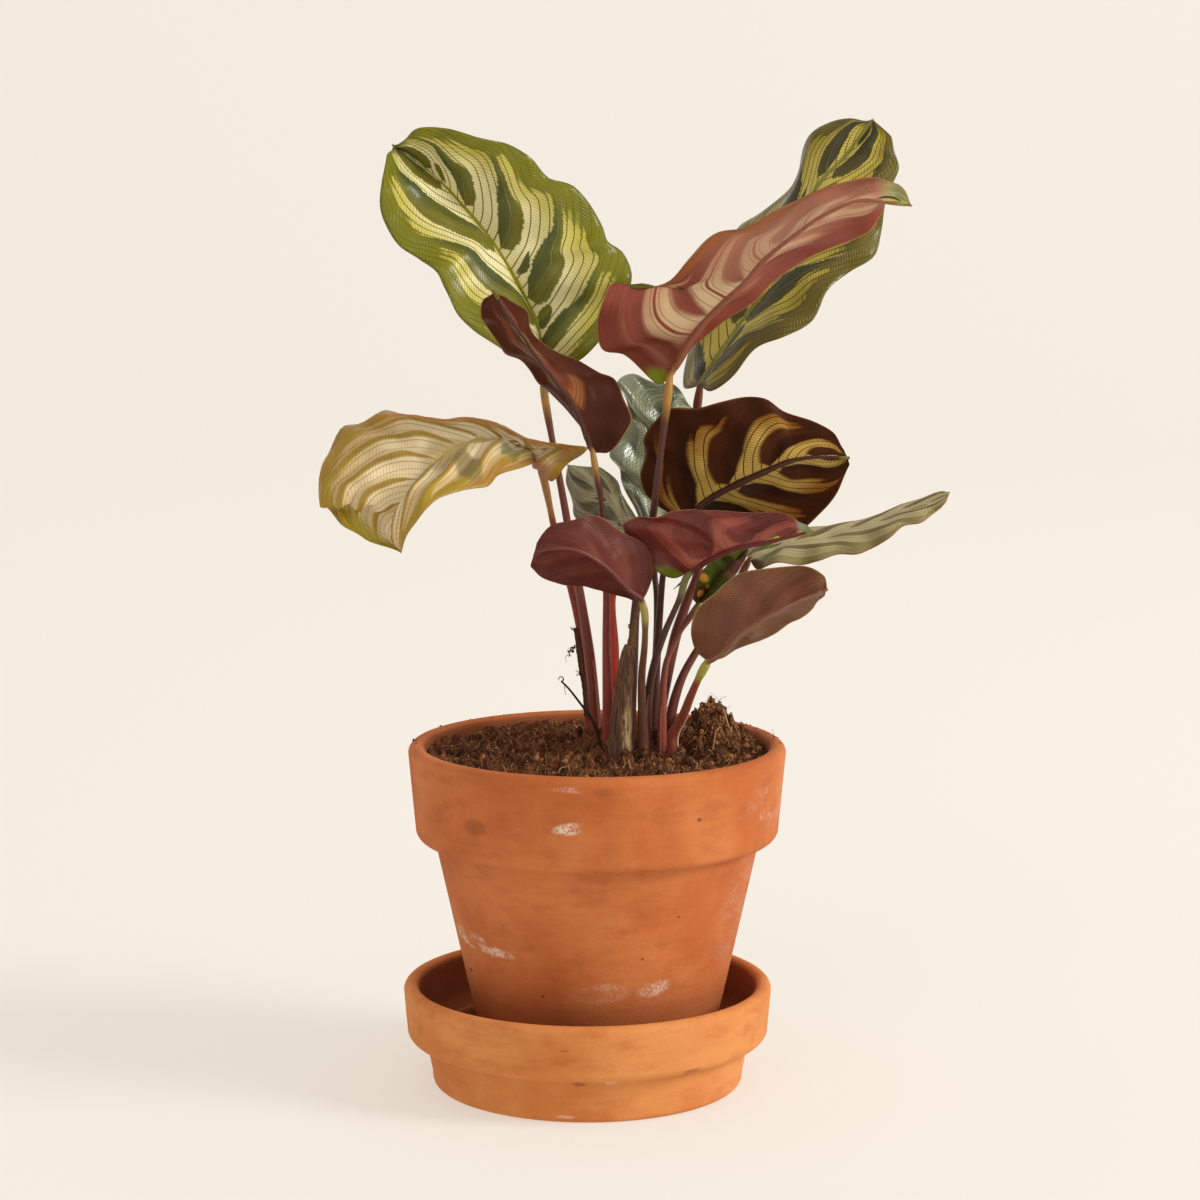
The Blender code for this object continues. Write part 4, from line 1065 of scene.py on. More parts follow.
def make_crumbs(soil, rng):
    form = Form()
    for _ in range(soil.crumbs):
        x, y = place_on_soil(rng)
        size = 0.3 + 1.2 * rng.random() ** 4
        lump(form, rng, (x, y, crumbly_height(x, y) + 0.25 * size), size, rng.random())
    for _ in range(soil.crumbs // 2):
        x, y = place_on_heap(rng, HEAP_MIDDLE, 8, 9)
        if math.hypot(x - POT_AXIS_X, y) > POT_BORE - CRUMB_ROOM:
            continue
        size = 0.25 + 0.8 * rng.random() ** 3
        lump(form, rng, (x, y, crumbly_height(x, y) + 0.3 * size), size, rng.random())
    for i in range(soil.clods):
        x, y = place_on_soil(rng, 0.94)
        if i % 5 == 0:
            x, y = place_on_heap(rng, CLOD_MIDDLE, 6, 7)
        size = rng.uniform(0.9, 2.1)
        if math.hypot(x - POT_AXIS_X, y) + 1.5 * size < POT_BORE:
            centre = (x, y, crumbly_height(x, y) - 0.3 * size)
            lump(form, rng, centre, size, 0.1 + 0.4 * rng.random(), 6, 9)
    for _ in range(soil.rim_crumbs):
        angle = rng.choice(RIM_CRUMB_ANGLES) + rng.normal() * 0.10
        radius = POT_RIM_RADIUS - POT_WALL / 2 + rng.normal() * 0.7
        size = 0.25 + 0.45 * rng.random() ** 2
        centre = (POT_AXIS_X + radius * math.cos(angle), radius * math.sin(angle), POT_RIM_TOP - 0.35)
        lump(form, rng, centre, size, rng.random() * 0.5)
    return form.make("soil_crumbs", [fibre_finish("soil_crumb", paint("#42261a"), paint("#a86e46"))])


def strand(rng, start, heading, length, curl, steps):
    """A wandering line of points."""
    points = [np.array(start, float)]
    heading = unit(np.array(heading, float))
    for _ in range(steps):
        heading = unit(heading + rng.normal(size=3) * curl)
        points.append(points[-1] + heading * length / steps)
    return np.array(points)


def make_fibres(soil, rng):
    """Coconut fibres: short curled strands that lie on the soil and stick out of it."""
    form = Form()
    limit = POT_BORE - FIBRE_ROOM
    for _ in range(soil.fibres):
        x, y = place_on_soil(rng, 0.98)
        turn = rng.random() * math.tau
        heading = (math.cos(turn), math.sin(turn), rng.normal() * 0.25)
        line = strand(rng, (x, y, 0.0), heading, 2.5 + 9 * rng.random() ** 2, 0.55, 6)
        lift = rng.uniform(-0.2, 1.3)
        for point in line:
            away = math.hypot(point[0] - POT_AXIS_X, point[1])
            if away > limit:
                point[0] = POT_AXIS_X + (point[0] - POT_AXIS_X) * limit / away
                point[1] *= limit / away
        ends = [crumbly_height(*line[i, :2]) for i in (0, 3, -1)]
        line[:, 2] = np.interp(range(len(line)), (0, 3, len(line) - 1), ends) + lift + 0.4 * line[:, 2]
        radius = 0.07 + 0.15 * rng.random() ** 2
        form.tube(line, np.linspace(radius, radius * 0.5, len(line)), 3, tint=rng.random() ** 1.5)
    for _ in range(soil.fibres // 8):
        x, y = place_on_heap(rng, HEAP_MIDDLE, 6, 7)
        turn = rng.random() * math.tau
        line = strand(rng, (x, y, 0.0), (math.cos(turn), math.sin(turn), 0.0), rng.uniform(3, 8), 0.5, 6)
        if np.hypot(line[:, 0] - POT_AXIS_X, line[:, 1]).max() >= limit:
            continue
        line[:, 2] = [crumbly_height(px, py) + 0.5 + 0.4 * rise for px, py, rise in line]
        form.tube(line, np.linspace(0.16, 0.07, len(line)), 3, tint=rng.random() ** 1.3)
    for tuft in HAIR_TUFTS:
        for _ in range(soil.tuft_hairs):
            x, y = [c + rng.normal() * 2.2 for c in tuft]
            start = (x, y, crumbly_height(x, y) - 0.5)
            heading = (rng.normal() * 0.5, rng.normal() * 0.5, 1.0)
            line = strand(rng, start, heading, rng.uniform(3, 11), 0.35, 9)
            form.tube(line, np.linspace(0.13, 0.05, len(line)), 4, tint=rng.random() * 0.7)
    return form.make("soil_fibres", [fibre_finish("coir", paint("#46281a"), paint("#c48c58"))])


def make_roots(rng):
    """A few pale roots curled over the surface."""
    form = Form()
    for x, y, turn, length, rise in ROOTS:
        line = strand(rng, (x, y, 0.0), (math.cos(turn), math.sin(turn), 0.0), length, 0.28, 10)
        arch = rise * np.sin(math.pi * np.arange(len(line)) / (len(line) - 1))
        line[:, 2] = [crumbly_height(*point[:2]) + 0.2 + up for point, up in zip(line, arch)]
        form.tube(line, np.linspace(0.3, 0.15, len(line)), 6, tint=rng.uniform(0.3, 1.0))
    return form.make("pale_roots", [fibre_finish("root_skin", paint("#8a5a34"), paint("#cfa878"))])


# Leaves


def leaf_places(rows):
    """Places along the rib, closer together near both ends."""
    steps = np.linspace(0.0, 1.0, rows + 1)
    crowded = 0.5 - 0.5 * np.cos(np.pi * steps)
    return FIRST_PLACE + (LAST_PLACE - FIRST_PLACE) * (0.45 * steps + 0.55 * crowded)


def vein_sweep(v, place, late):
    """How far towards the tip a side vein has run where it is v of the way to the margin.

    A late sweep leaves the rib straight and turns towards the tip near the margin.
    """
    run = (1 - late) * (0.24 * v + 0.16 * v**2) + late * 0.45 * v**3
    return run * (0.45 + 0.55 * np.clip(place / 0.3, 0.0, 1.0))


def held_inside(points):
    """Points eased back, over the last few millimetres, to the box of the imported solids."""
    for axis, corner, way in ((0, 0, 1), (0, 1, -1), (2, 1, -1)):
        room = (points[..., axis] - CAD_BOX[corner][axis] / MM) * way
        eased = EDGE_ROOM * np.exp((np.minimum(room, EDGE_ROOM) - EDGE_ROOM) / EDGE_ROOM)
        points[..., axis] += np.where(room < EDGE_ROOM, eased - room, 0.0) * way
    return points


def blade_surface(leaf, pleat):
    """Points over the blade and what the finish reads there, from the left margin to the right one."""
    places = leaf_places(LEAF_ROWS)
    rib = smooth_curve(leaf["rib"], places)
    ahead = unit(np.gradient(rib, axis=0))
    onward = np.clip((places - TIP_START) / (LAST_PLACE - TIP_START), 0.0, 1.0)
    taper = 1 - 0.97 * onward**1.5
    late = leaf["late"]
    sides = []
    for index, (side, turn) in enumerate((("left", 1.0), ("right", -1.0))):
        ends = [leaf["rib"][0]] + leaf[side] + [leaf["rib"][-1]]
        reach = (smooth_curve(ends, places) - rib) * taper[:, None]
        width = np.linalg.norm(reach, axis=1)
        upward = turn * np.cross(ahead, reach)
        columns = []
        for j in range(HALF_COLUMNS + 1):
            v = (j / HALF_COLUMNS) ** COLUMN_CROWDING
            lean = leaf["sweep"][index] * vein_sweep(v, places, late[index])
            phase = leaf["cells"][index] * (places - lean) + leaf["starts"][index]
            arch = BLADE_ARCH * v * (1 - v)
            ripple = BLADE_RIPPLE * v**2 * (1 - v) * np.sin(math.tau * leaf["waves"] * places + turn)
            scallop = 1 + MARGIN_SCALLOP * v**3 * np.cos(math.tau * phase)
            points = rib + reach * (v * scallop)[:, None] + upward * (arch + ripple)[:, None]
            lift = leaf["pleat"] * pleat * np.cos(math.tau * phase)
            lift *= np.minimum(width / FULL_PLEAT_WIDTH, 1.0) * math.sin(math.pi * v**0.8)
            lift += [CRUMPLE * noise.noise(Vector((0.11 * v * w * turn, 9 * p, leaf["waves"])))
                     for w, p in zip(width, places)]
            ridge = RIB_RIDGE * np.exp(-((v * width / RIB_RIDGE_WIDTH) ** 2))
            columns.append((points, lift + ridge, np.full(len(places), -turn * v), v * width, phase, places))
        sides.append(columns)
    rows = sides[0][::-1] + sides[1][1:]
    points, lift, across, away, phase, along = [np.stack([c[i] for c in rows], axis=1) for i in range(6)]
    up = unit(np.cross(np.gradient(points, axis=1), np.gradient(points, axis=0)))
    points = held_inside(points + up * lift[..., None])
    return points, up, dict(across=across, away=away, vein=phase, along=along)


def blade(form, leaf, thickness, pleat):
    """The thin blade as one closed skin: top, right edge, underside, left edge."""
    points, up, numbers = blade_surface(leaf, pleat)
    half = 0.5 * thickness * (1 - 0.45 * numbers["across"] ** 4)[..., None]
    top = points + up * half
    bottom = points - up * half
    ring = np.concatenate([top, bottom[:, ::-1]], axis=1)
    doubled = {k: np.concatenate([v, v[:, ::-1]], axis=1) for k, v in numbers.items()}
    columns = top.shape[1]
    form.grid(ring, slots=[0] * (columns - 1) + [1] * (columns + 1), **doubled)
    first = form.count - ring.shape[0] * ring.shape[1]
    for row, turned in ((0, False), (ring.shape[0] - 1, True)):
        for j in range(columns - 1):
            a = first + row * 2 * columns + j
            b = first + row * 2 * columns + 2 * columns - 1 - j
            quad = (a, a + 1, b - 1, b)
            form.faces.append(quad[::-1] if turned else quad)
            form.slots.append(1)
    return points, up


def stalk_line(leaf):
    """The stalk from the blade down into the soil."""
    below = [(*leaf["foot"], z) for z in (STALK_STRAIGHT_TOP, STALK_GROUND, STALK_FOOT)]
    return smooth_curve([leaf["rib"][0]] + leaf["stalk"] + below, np.linspace(0, 1, STALK_POINTS))


def stalk_radii(leaf, t):
    return np.minimum(leaf["girth"] * blend_table(STALK_RADII, t), STALK_WIDEST)


def stem(form, leaf, points, up):
    """The round stalk and, running on under the blade, the rib."""
    line = stalk_line(leaf)
    t = np.linspace(0, 1, len(line))
    keep = np.arange(2, LEAF_ROWS - 6, 2)
    rib_radii = blend_table(RIB_RADII, keep / LEAF_ROWS)
    rib = points[keep, HALF_COLUMNS] - up[keep, HALF_COLUMNS] * (rib_radii * 0.85)[:, None]
    bar = np.vstack([rib[::-1], line])
    sizes = np.concatenate([rib_radii[::-1], stalk_radii(leaf, t)])
    length = np.linalg.norm(np.diff(line, axis=0), axis=1).sum()
    below = np.interp(t, (0.0, leaf["joint"] / length, 1.0), (JOINT_END, 1.0, 0.0))
    along = np.concatenate([JOINT_END + (keep / LEAF_ROWS)[::-1], below])
    first = len(form.slots)
    form.tube(bar, sizes, STALK_SIDES, stem=along)
    form.slots[first:] = [2] * (len(form.slots) - first)


class BladeFinish(Finish):
    """One face of a blade: dark ovals and pale stripes between fine veins.

    It reads four numbers from the mesh: how far across its half a point lies, negative on
    the left, how far away the rib is in millimetres, how far along the rib the point is,
    and the side veins counted from the stalk, whole at the middle of a dark oval.
    """

    def __init__(self, name, face, cross_scale, seed):
        self.face = face = FACE_DEFAULTS | face
        super().__init__(name, face["rough"], face["shine"])
        across = self.number("across")
        self.side = across.math("SIGN", across)
        self.v = abs(across)
        self.away = self.number("away")
        self.along = self.number("along")
        phase = self.number("vein")
        nearest = (phase + 0.5).floor()
        self.offset = phase - nearest
        self.beside = abs(self.offset)
        self.own = self.chance(nearest, self.side, seed)
        strips = phase * face["fine"]
        strip = strips.floor()
        self.luck = self.chance(strip, self.side, seed + 3.7)
        self.from_vein = 0.5 - abs(strips - strip - 0.5)
        cross = (self.away * 0.75 + self.along * cross_scale) / CROSS_VEIN_SPACING + self.luck * 3.0
        cell = cross.floor()
        self.jag = self.chance(cell, strip, seed + 9.1) - 0.5
        self.from_cross_vein = 0.5 - abs(cross - cell - 0.5)
        self.add_colours()

    def outline(self, lance):
        """Width of the dark ovals on the way out to the margin."""
        return self.ramp(self.v, *[(place, (2 * width,) * 3) for place, width in LANCES[lance]])

    def spot(self, across, along, half_across, half_along):
        """1 inside a spot of the blade, with a soft edge."""
        sideways = (self.v * self.side - across) / half_across
        onward = (self.along - along) / half_along
        return 1 - (sideways * sideways + onward * onward).ease(0.35, 1.15)

    def small_ovals(self):
        """Small dark ovals near the rib, in some of the gaps between the large ones."""
        out = (self.v - 0.16) / 0.11
        onward = (0.5 - self.beside) / 0.17
        small = 1 - (out * out + onward * onward + self.jag * 0.25).ease(0.75, 1.15)
        small = small * self.own.ease(1 - self.face["small"], 1.02 - self.face["small"])
        if "split" in self.face:
            split = self.face["split"]
            small = small.most(1 - (0.5 - self.beside).ease(0.4 * split, split))
        return small

    def pale_ground(self):
        """1 on the pale stripes between the dark ovals, 0 on the ovals and at the margin."""
        face = self.face
        oval = self.outline(face["lance"])
        if "lance_left" in face:
            oval = oval + (self.outline(face["lance_left"]) - oval) * ((1 - self.side) * 0.5)
        edge = face["soft"]
        oval = oval * (0.41 + 0.18 * self.own) + self.jag * (0.03 if edge < SOFT_PATTERN else 0.01)
        reach, spread = face["fade"]
        fade = self.luck * spread + self.jag * 0.04 + reach - (0.5 - self.from_vein) * 0.10
        ground = (self.beside - oval).ease(-edge, 1.6 * edge) * (1 - self.small_ovals())
        ground = ground * (1 - (self.v - fade).ease(-0.02 - edge, 0.02 + edge))
        ground = ground * self.along.ease(0.02, 0.08) * (1 - self.along.ease(0.92, 0.98)) * face["show"]
        if "windows" in face:
            shown, *others = [self.spot(*window) for window in face["windows"]]
            for other in others:
                shown = shown.most(other)
            ground = ground * shown
        return ground

    def add_colours(self):
        """Colour of the ground, ovals, veins and spots, and the relief of the veins."""
        face = self.face
        pale, fringe, dark, shade, margin, rib, vein, edge = [rich_paint(code) for code in face["colours"]]
        soft = self.noise(self.place(), 120, 3, 0.55)
        cloud = self.noise(self.place(), 45, 2, 0.5)
        line = 1 - self.from_vein.ease(0.025, 0.09)
        middle_line = 1 - self.beside.ease(0.004, 0.016)
        hatch = 1 - self.from_cross_vein.ease(0.06, 0.22)
        faint = 1.0 if face["soft"] < SOFT_PATTERN else 0.4
        light = self.mix((self.v + (soft - 0.5) * 0.3).ease(0.30, 0.80), pale, fringe)
        light = self.mix(hatch * (0.42 * face["line"]), light, vein)
        light = self.mix(line * face["line"], light, vein)
        deep = self.mix((self.offset + (soft - 0.5) * 0.2).ease(-0.16, 0.10), shade, dark)
        deep = self.mix((self.v + (soft - 0.5) * 0.16).ease(0.58, 0.84), deep, margin)
        deep = self.mix(cloud.ease(0.35, 0.7) * 0.35, deep, margin)
        deep = self.mix(line * (0.10 * faint) + middle_line * (0.30 * faint), deep, rib)
        colour = self.mix(self.pale_ground(), deep, light)
        for *place, code, strength in face["spots"]:
            colour = self.mix(self.spot(*place) * strength, colour, rich_paint(code))
        colour = self.mix(1 - (self.away / (2.1 - 1.3 * self.along)).ease(0.75, 1.1), colour, rib)
        # The rolled edge: on many faces a pale rim, partly the edge's own colour and partly painted light
        # shining through the thin margin.
        colour = self.mix(self.v.ease(0.972, 0.992) * 0.8, colour, edge)
        self.feed("Base Color", colour)
        self.bump(1 - line * (0.6 * faint) - hatch * 0.2 + 0.5 * soft, 0.0004)


def stalk_finish(name, codes):
    """Stalk colour from the foot to the joint and on along the rib, with fine streaks."""
    finish = Finish(name, 0.42, 0.32)
    along = finish.number("stem")
    foot, middle, upper, joint, rib, dark = [paint(code) for code in codes]
    place = finish.place()
    streak = finish.noise(finish.stretched(place, (1.0, 1.0, 0.06)), 1500, 3, 0.6)
    wobble = along + (streak - 0.5) * 0.05
    stops = ((0.03, foot), (0.18, middle), (0.435, upper), (0.46, joint), (0.54, joint), (0.565, rib))
    colour = finish.ramp(wobble / (1 + JOINT_END), *stops)
    colour = finish.mix(streak.ease(0.5, 0.75) * 0.4, colour, dark)
    dots = finish.noise(place, 2600, 1, 0.5)
    colour = finish.mix(dots.ease(0.66, 0.72) * 0.3, colour, paint("#b08a68"))
    finish.feed("Base Color", colour)
    finish.bump(0.7 * streak + 0.3 * dots, 0.0002)
    return finish.material


def make_leaves(foliage):
    stalks = {name: stalk_finish("stalk_" + name, codes) for name, codes in STALKS.items()}
    for number, (name, leaf) in enumerate(LEAVES.items()):
        form = Form()
        points, up = blade(form, leaf, foliage.thickness / MM, foliage.pleat / MM)
        stem(form, leaf, points, up)
        rib = smooth_curve(leaf["rib"], np.linspace(0, 1, 30))
        cross_scale = 0.66 * np.linalg.norm(np.diff(rib, axis=0), axis=1).sum()
        faces = [BladeFinish(name + ending, FACES[leaf[look]], cross_scale, number * 1.7).material
                 for ending, look in (("_top", "look"), ("_under", "under"))]
        made = form.make(name + "_grown", faces + [stalks[leaf["stalk_finish"]]])
        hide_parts(name)


# Dry pieces


def make_dry(dry):
    rng = np.random.default_rng(dry.seed)
    make_torn_sheath(dry, rng)
    make_bent_twig(rng)
    make_scraps(rng)
    make_sheath_edges()


def make_torn_sheath(dry, rng):
    """A thin tube that is open along one side, creased, and torn along one edge."""
    below = [(*SHEATH_FOOT, z) for z in (STALK_GROUND, STALK_FOOT)]
    line = smooth_curve(SHEATH + below, np.linspace(0, 1, SHEATH_POINTS))
    t = np.linspace(0, 1, SHEATH_POINTS)
    radii = blend_table(SHEATH_RADII, t)
    turns = np.linspace(*SHEATH_TURNS)
    tear = np.cumsum(rng.normal(size=SHEATH_POINTS)) * 0.03
    rows = []
    for i, (place, radius) in enumerate(zip(line, radii)):
        ring = []
        for k, turn in enumerate(turns):
            angle = math.radians(-60) - turn * math.radians(165) + (tear[i] if k > SHEATH_TORN_FROM else 0.0)
            crease = 1 + 0.05 * math.sin(9 * angle + 3 * t[i]) + 0.03 * math.sin(23 * angle)
            ring.append(place + radius * crease * np.array([math.cos(angle), math.sin(angle), 0.0]))
        rows.append(ring)
    outer = np.array(rows)
    inward = line[:, None, :] - outer
    inner = outer + inward * np.minimum(SHEATH_THICKNESS / radii, 0.5)[:, None, None]
    ring = np.concatenate([outer, inner[:, ::-1]], axis=1)
    edge = np.concatenate([turns, turns[::-1]])
    form = Form()
    form.grid(ring, capped=True, tint=edge, stem=1 - t[:, None])
    made = form.make("torn_sheath", [sheath_finish(dry)])
    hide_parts("dry_sheath")


def make_bent_twig(rng):
    """A dead stalk with a small loop and a hair at its end."""
    form = Form()
    below = [(*TWIG_FOOT, z) for z in (STALK_GROUND, STALK_FOOT)]
    t = np.linspace(0, 1, TWIG_POINTS)
    line = smooth_curve(TWIG + below, t)
    form.tube(line, blend_table(TWIG_RADII, t), 8, tint=0.2)
    loop = [line[0] + np.array([0.9 * math.sin(a) - 0.2, 0.3 * math.sin(2 * a), 0.9 - 0.9 * math.cos(a)])
            for a in np.linspace(0, 5.2, 14)]
    form.tube(loop, np.linspace(0.3, 0.12, len(loop)), 6, tint=0.1)
    hair = strand(rng, line[1], (0.1, 0.0, -1.0), 4, 0.3, 7)
    form.tube(hair, np.linspace(0.15, 0.06, len(hair)), 4, tint=0.1)
    made = form.make("bent_twig", [fibre_finish("dead_stalk_skin", paint("#24140e"), paint("#6a4a30"))])
    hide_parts("dead_stalk")


def make_scraps(rng):
    """Dark shreds of dead sheath that cling to two of the stalks."""
    form = Form()
    places = np.linspace(0, 1, 44)
    for points, widths, tint in SCRAPS:
        line = smooth_curve(points, places)
        rough = [0.75 + 0.6 * abs(noise.noise(Vector((0.0, 0.9 * z, 4.0)))) for z in line[:, 2]]
        form.tube(line, rough * blend_table(widths, places), 7, tint=tint)
    for place, spread, count in SCRAP_CLUMPS:
        for _ in range(count):
            centre = np.array(place) + rng.normal(size=3) * spread
            lump(form, rng, centre, rng.uniform(0.25, 0.6), rng.random() * 0.3)
            hair = strand(rng, centre, rng.normal(size=3), rng.uniform(1.5, 4.5), 0.6, 8)
            form.tube(hair, np.linspace(0.12, 0.05, len(hair)), 4, tint=rng.random() * 0.4)
    made = form.make("dead_scraps", [fibre_finish("scrap_skin", paint("#1c100a"), paint("#8a6440"))])


def make_sheath_edges():
    """The thin pink edges of the open sheaths low on some stalks."""
    form = Form()
    for name, angle, start, end, tint in SHEATH_EDGES:
        line = stalk_line(LEAVES[name])
        t = np.linspace(0, 1, len(line))
        kept = (t >= start) & (t <= end)
        radii = stalk_radii(LEAVES[name], t)[kept]
        outward = np.array([math.cos(math.radians(angle)), math.sin(math.radians(angle)), 0.0])
        run = np.linspace(0, 1, len(radii))
        edge = line[kept] + outward * (radii - 0.1 + 0.5 * np.sin(math.pi * run**0.6))[:, None]
        form.tube(edge, 0.12 + 0.3 * np.sin(math.pi * run), 6, tint=tint)
    made = form.make("sheath_edges", [fibre_finish("sheath_edge", paint("#8c3c2e"), paint("#dcae9c"))])


def sheath_finish(dry):
    finish = Finish("papery_sheath", 0.75, 0.25)
    place = finish.place()
    streak = finish.noise(finish.stretched(place, (1.0, 1.0, 0.07)), 1400, 4, 0.6)
    patch = finish.noise(place, 260, 4, 0.6)
    turn = finish.number("tint")
    height = finish.number("stem")
    colour = finish.mix(streak.ease(0.35, 0.7), tuple(dry.dark_colour), tuple(dry.colour))
    strip = 1 - abs(turn + 0.02 + (patch - 0.5) * 0.7).ease(0.06, 0.2)
    strip = strip * (1 - (height + (patch - 0.5) * 0.5).ease(0.4, 0.65)) * streak.ease(0.3, 0.55)
    colour = finish.mix(strip * 0.9, colour, tuple(dry.edge_colour))
    finish.feed("Base Color", colour)
    finish.bump(streak, 0.0005)
    return finish.material


# Stage


def make_stage(stage):
    finish = Finish("pale_backdrop", 0.9, 0.1)
    cloud = finish.noise(finish.place(), 3, 2, 0.5)
    pale = tuple(stage.floor_colour)
    finish.feed("Base Color", finish.mix(cloud * 0.04, pale, tuple(0.96 * c for c in pale)))
    glow = tuple(stage.glow_colour)
    near = 1 - finish.axes(finish.place())[1].ease(-0.8, 1.6)
    finish.feed("Emission Color", finish.mix(near, glow, tuple(stage.near_glow * c for c in glow)))
    finish.shader.inputs["Emission Strength"].default_value = stage.floor_glow
    mesh = bpy.data.meshes.new("studio_floor")
    profile = [(FLOOR_FRONT, 0.0), (FLOOR_BEND, 0.0)]
    profile += [(FLOOR_BEND + BEND_RADIUS * math.sin(a), BEND_RADIUS - BEND_RADIUS * math.cos(a))
                for a in np.linspace(0.1, math.pi / 2, 14)]
    profile += [(FLOOR_BEND + BEND_RADIUS, WALL_TOP)]
    verts = [(x, y, z) for y, z in profile for x in (-FLOOR_HALF_WIDTH, FLOOR_HALF_WIDTH)]
    faces = [(2 * i, 2 * i + 1, 2 * i + 3, 2 * i + 2) for i in range(len(profile) - 1)]
    mesh.from_pydata(verts, [], faces)
    mesh.materials.append(finish.material)
    mesh.polygons.foreach_set("use_smooth", [True] * len(mesh.polygons))
    floor = bpy.data.objects.new("studio_floor", mesh)
    bpy.context.scene.collection.objects.link(floor)
    world = bpy.data.worlds.new("soft_room")
    bpy.context.scene.world = world
    world.use_nodes = True
    background = world.node_tree.nodes["Background"]
    background.inputs["Color"].default_value = (*stage.room_colour, 1.0)
    background.inputs["Strength"].default_value = stage.room_light
    add_light("key", stage.key_place, stage.key_power, stage.key_size, stage.key_colour)
    add_light("fill", stage.fill_place, stage.fill_power, FILL_SIZE, FILL_COLOUR)
    scene = bpy.context.scene
    scene.view_settings.view_transform = "Standard"
    scene.view_settings.look = "None"
    camera = bpy.data.cameras.new("camera")
    camera.sensor_width = SENSOR_WIDTH
    camera.lens = FOCAL_PIXELS * SENSOR_WIDTH / (2 * PHOTO_MIDDLE)
    holder = bpy.data.objects.new("camera", camera)
    holder.location = (CAMERA_X * MM, -CAMERA_AWAY * MM, CAMERA_HEIGHT * MM)
    holder.rotation_euler = (math.radians(90 - CAMERA_PITCH), 0.0, 0.0)
    scene.collection.objects.link(holder)
    scene.camera = holder


def add_light(name, place, power, size, colour):
    light = bpy.data.lights.new(name, "AREA")
    light.energy = power
    light.shape = "DISK"
    light.size = size
    light.color = colour[:3]
    lamp = bpy.data.objects.new(name, light)
    lamp.location = place
    lamp.rotation_euler = (Vector(LIT_PLACE) - lamp.location).to_track_quat("-Z", "Y").to_euler()
    bpy.context.scene.collection.objects.link(lamp)


class ClaySettings(bpy.types.PropertyGroup):
    pot_colour: colour_property("Pot", "Main colour of the pot", "#b8622f")
    pot_light: colour_property("Pot light", "Paler clouds in the pot's clay", "#cd7a45")
    pot_dark: colour_property("Pot dark", "Darker clouds in the pot's clay", "#a4552a")
    pot_shade: colour_property("Grain", "Grain and turning lines", "#8e4a26")
    saucer_colour: colour_property("Saucer", "Main colour of the saucer", "#cb7c40")
    saucer_light: colour_property("Saucer light", "Paler clouds in the saucer's clay", "#dc9254")


class SoilSettings(bpy.types.PropertyGroup):
    colour: colour_property("Soil", "Main colour of the soil", "#7a482c")
    # Partly the soil's own colour and partly painted shade in the hollows between lumps.
    dark_colour: colour_property("Hollows", "Colour between the lumps", "#2c190f")
    light_colour: colour_property("Grains", "Paler grains", "#9a6642")
    fibre_colour: colour_property("Strands", "Fine strands in the soil", "#a06e42")
    crumbs: count_property("Crumbs", "Loose crumbs on the soil", 1700)
    clods: count_property("Clods", "Larger clods on the soil", 100)
    rim_crumbs: count_property("Rim crumbs", "Crumbs on the pot's rim", 60)
    fibres: count_property("Fibres", "Coconut fibres on the soil", 3900)
    tuft_hairs: count_property("Tuft hairs", "Root hairs in each tuft", 12)
    seed: count_property("Seed", "Seed of the random places", 7)


class FoliageSettings(bpy.types.PropertyGroup):
    thickness: length_property("Blade thickness", "Thickness of a blade at its rib", 0.5 * MM)
    pleat: length_property("Pleats", "Height of the folds between side veins", 1.0 * MM)


class DrySettings(bpy.types.PropertyGroup):
    colour: colour_property("Sheath", "Main colour of the dry sheath", "#866248")
    dark_colour: colour_property("Sheath dark", "Dark streaks of the dry sheath", "#4c3226")
    edge_colour: colour_property("Sheath edge", "Pale strip", "#b89e74")
    seed: count_property("Seed", "Seed of the tears", 3)


class StageSettings(bpy.types.PropertyGroup):
    floor_colour: colour_property("Floor", "Colour of the floor and wall", "#aaa8a5")
    glow_colour: colour_property("Glow", "Colour of the backdrop's own light", "#fff7ea")
    floor_glow: number_property("Floor glow", "Light of the backdrop itself", 0.54)
    near_glow: number_property("Near glow", "Share of the backdrop's light that the near floor gives", 0.93)
    room_colour: colour_property("Room light", "Colour of the light from all round", "#fff8f0")
    room_light: number_property("Room strength", "Light from all round", 0.64)
    key_place: place_property("Key place", "Where the main light stands", (3.0, -0.95, 1.74))
    key_power: number_property("Key power", "Power of the main light", 86.0)
    key_size: length_property("Key size", "Width of the main light", 1.4)
    key_colour: colour_property("Key colour", "Colour of the main light", "#fffdf8")
    fill_place: place_property("Fill place", "Where the second light stands", (-0.6, -1.8, 1.8))
    fill_power: number_property("Fill power", "Power of the second light", 6.0)


class MakeStage(bpy.types.Operator):
    """Make the floor, the lights and the camera"""

    bl_idname = "calathea.make_stage"
    bl_label = "Make stage"

    def execute(self, context):
        make_stage(context.scene.calathea_stage)
        return {"FINISHED"}


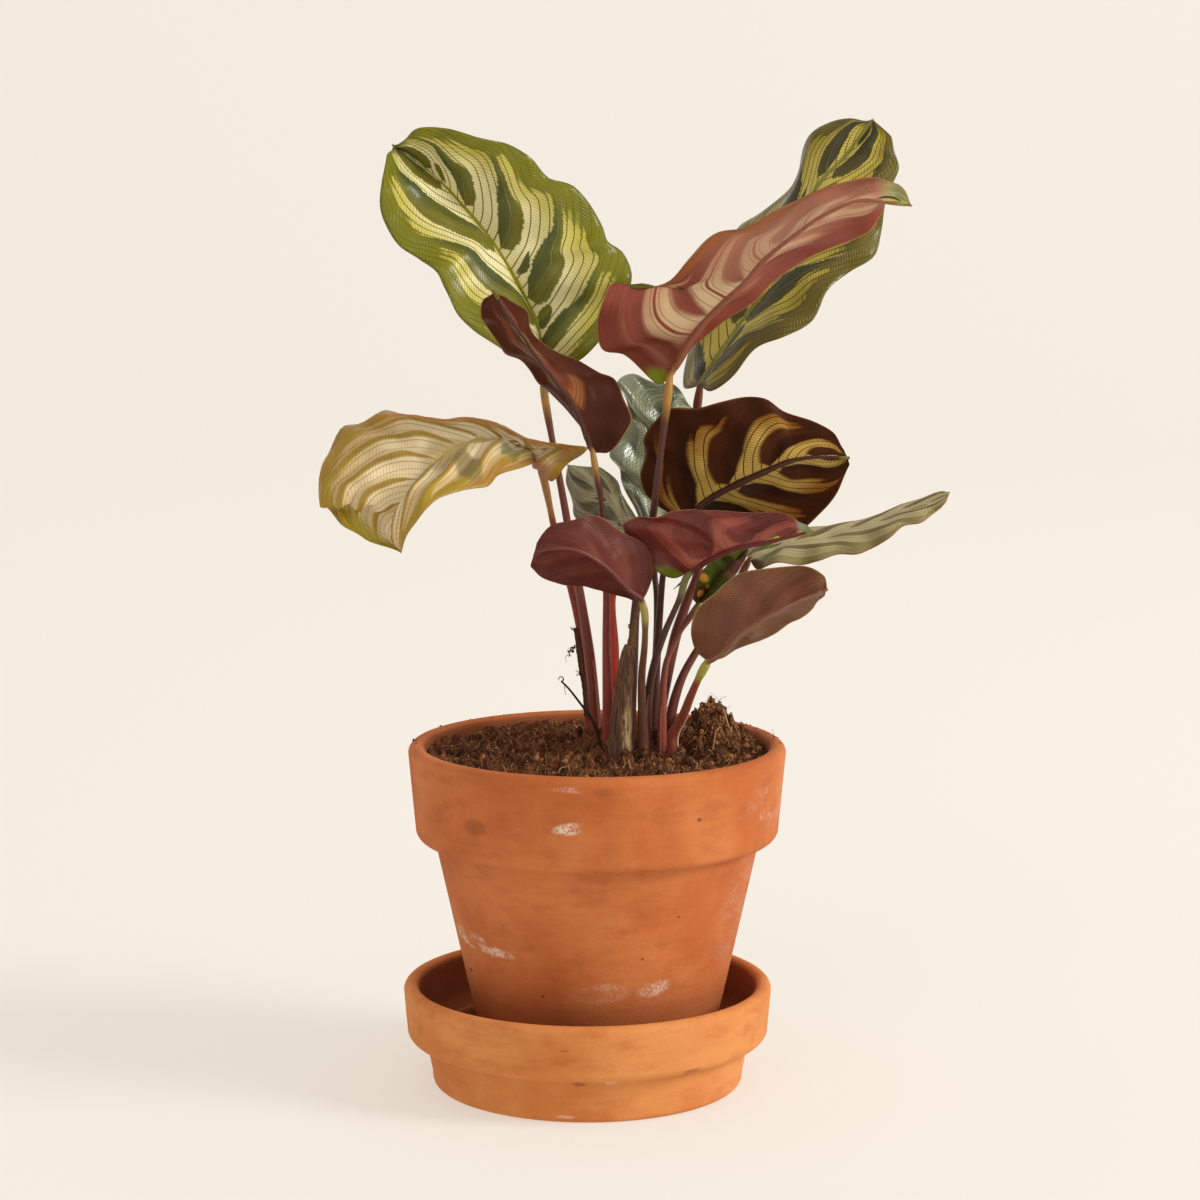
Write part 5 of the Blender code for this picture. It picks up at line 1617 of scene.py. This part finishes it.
class MakeClay(bpy.types.Operator):
    """Turn the clay pot and its saucer"""

    bl_idname = "calathea.make_clay"
    bl_label = "Make pot and saucer"

    def execute(self, context):
        make_clay(context.scene.calathea_clay)
        return {"FINISHED"}


class MakeSoil(bpy.types.Operator):
    """Fill the pot with crumbly, fibrous soil"""

    bl_idname = "calathea.make_soil"
    bl_label = "Make soil"

    def execute(self, context):
        make_soil(context.scene.calathea_soil)
        return {"FINISHED"}


class MakeLeaves(bpy.types.Operator):
    """Grow the patterned leaves, each on its stalk"""

    bl_idname = "calathea.make_leaves"
    bl_label = "Make leaves"

    def execute(self, context):
        make_leaves(context.scene.calathea_foliage)
        return {"FINISHED"}


class MakeDry(bpy.types.Operator):
    """Make the torn sheath, the bent twig, the dark shreds and the edges of the open sheaths"""

    bl_idname = "calathea.make_dry"
    bl_label = "Make dry pieces"

    def execute(self, context):
        make_dry(context.scene.calathea_dry)
        return {"FINISHED"}


STEPS = (MakeStage, MakeClay, MakeSoil, MakeLeaves, MakeDry)
SETTINGS = {
    "calathea_clay": ClaySettings,
    "calathea_soil": SoilSettings,
    "calathea_foliage": FoliageSettings,
    "calathea_dry": DrySettings,
    "calathea_stage": StageSettings,
}


class CalatheaPanel(bpy.types.Panel):
    """Settings and steps of the potted calathea"""

    bl_idname = "VIEW3D_PT_calathea"
    bl_label = "Potted Calathea"
    bl_space_type = "VIEW_3D"
    bl_region_type = "UI"
    bl_category = "Calathea"

    def draw(self, context):
        for name in SETTINGS:
            settings = getattr(context.scene, name)
            box = self.layout.box()
            for key in settings.__annotations__:
                box.prop(settings, key)
        for step in STEPS:
            self.layout.operator(step.bl_idname)


def register():
    for item in (*SETTINGS.values(), *STEPS, CalatheaPanel):
        bpy.utils.register_class(item)
    for name, group in SETTINGS.items():
        setattr(bpy.types.Scene, name, bpy.props.PointerProperty(type=group))


def unregister():
    for name in SETTINGS:
        delattr(bpy.types.Scene, name)
    for item in reversed((*SETTINGS.values(), *STEPS, CalatheaPanel)):
        bpy.utils.unregister_class(item)


def main():
    register()
    for step in STEPS:
        group, action = step.bl_idname.split(".")
        getattr(getattr(bpy.ops, group), action)()


if __name__ == "__main__":
    main()
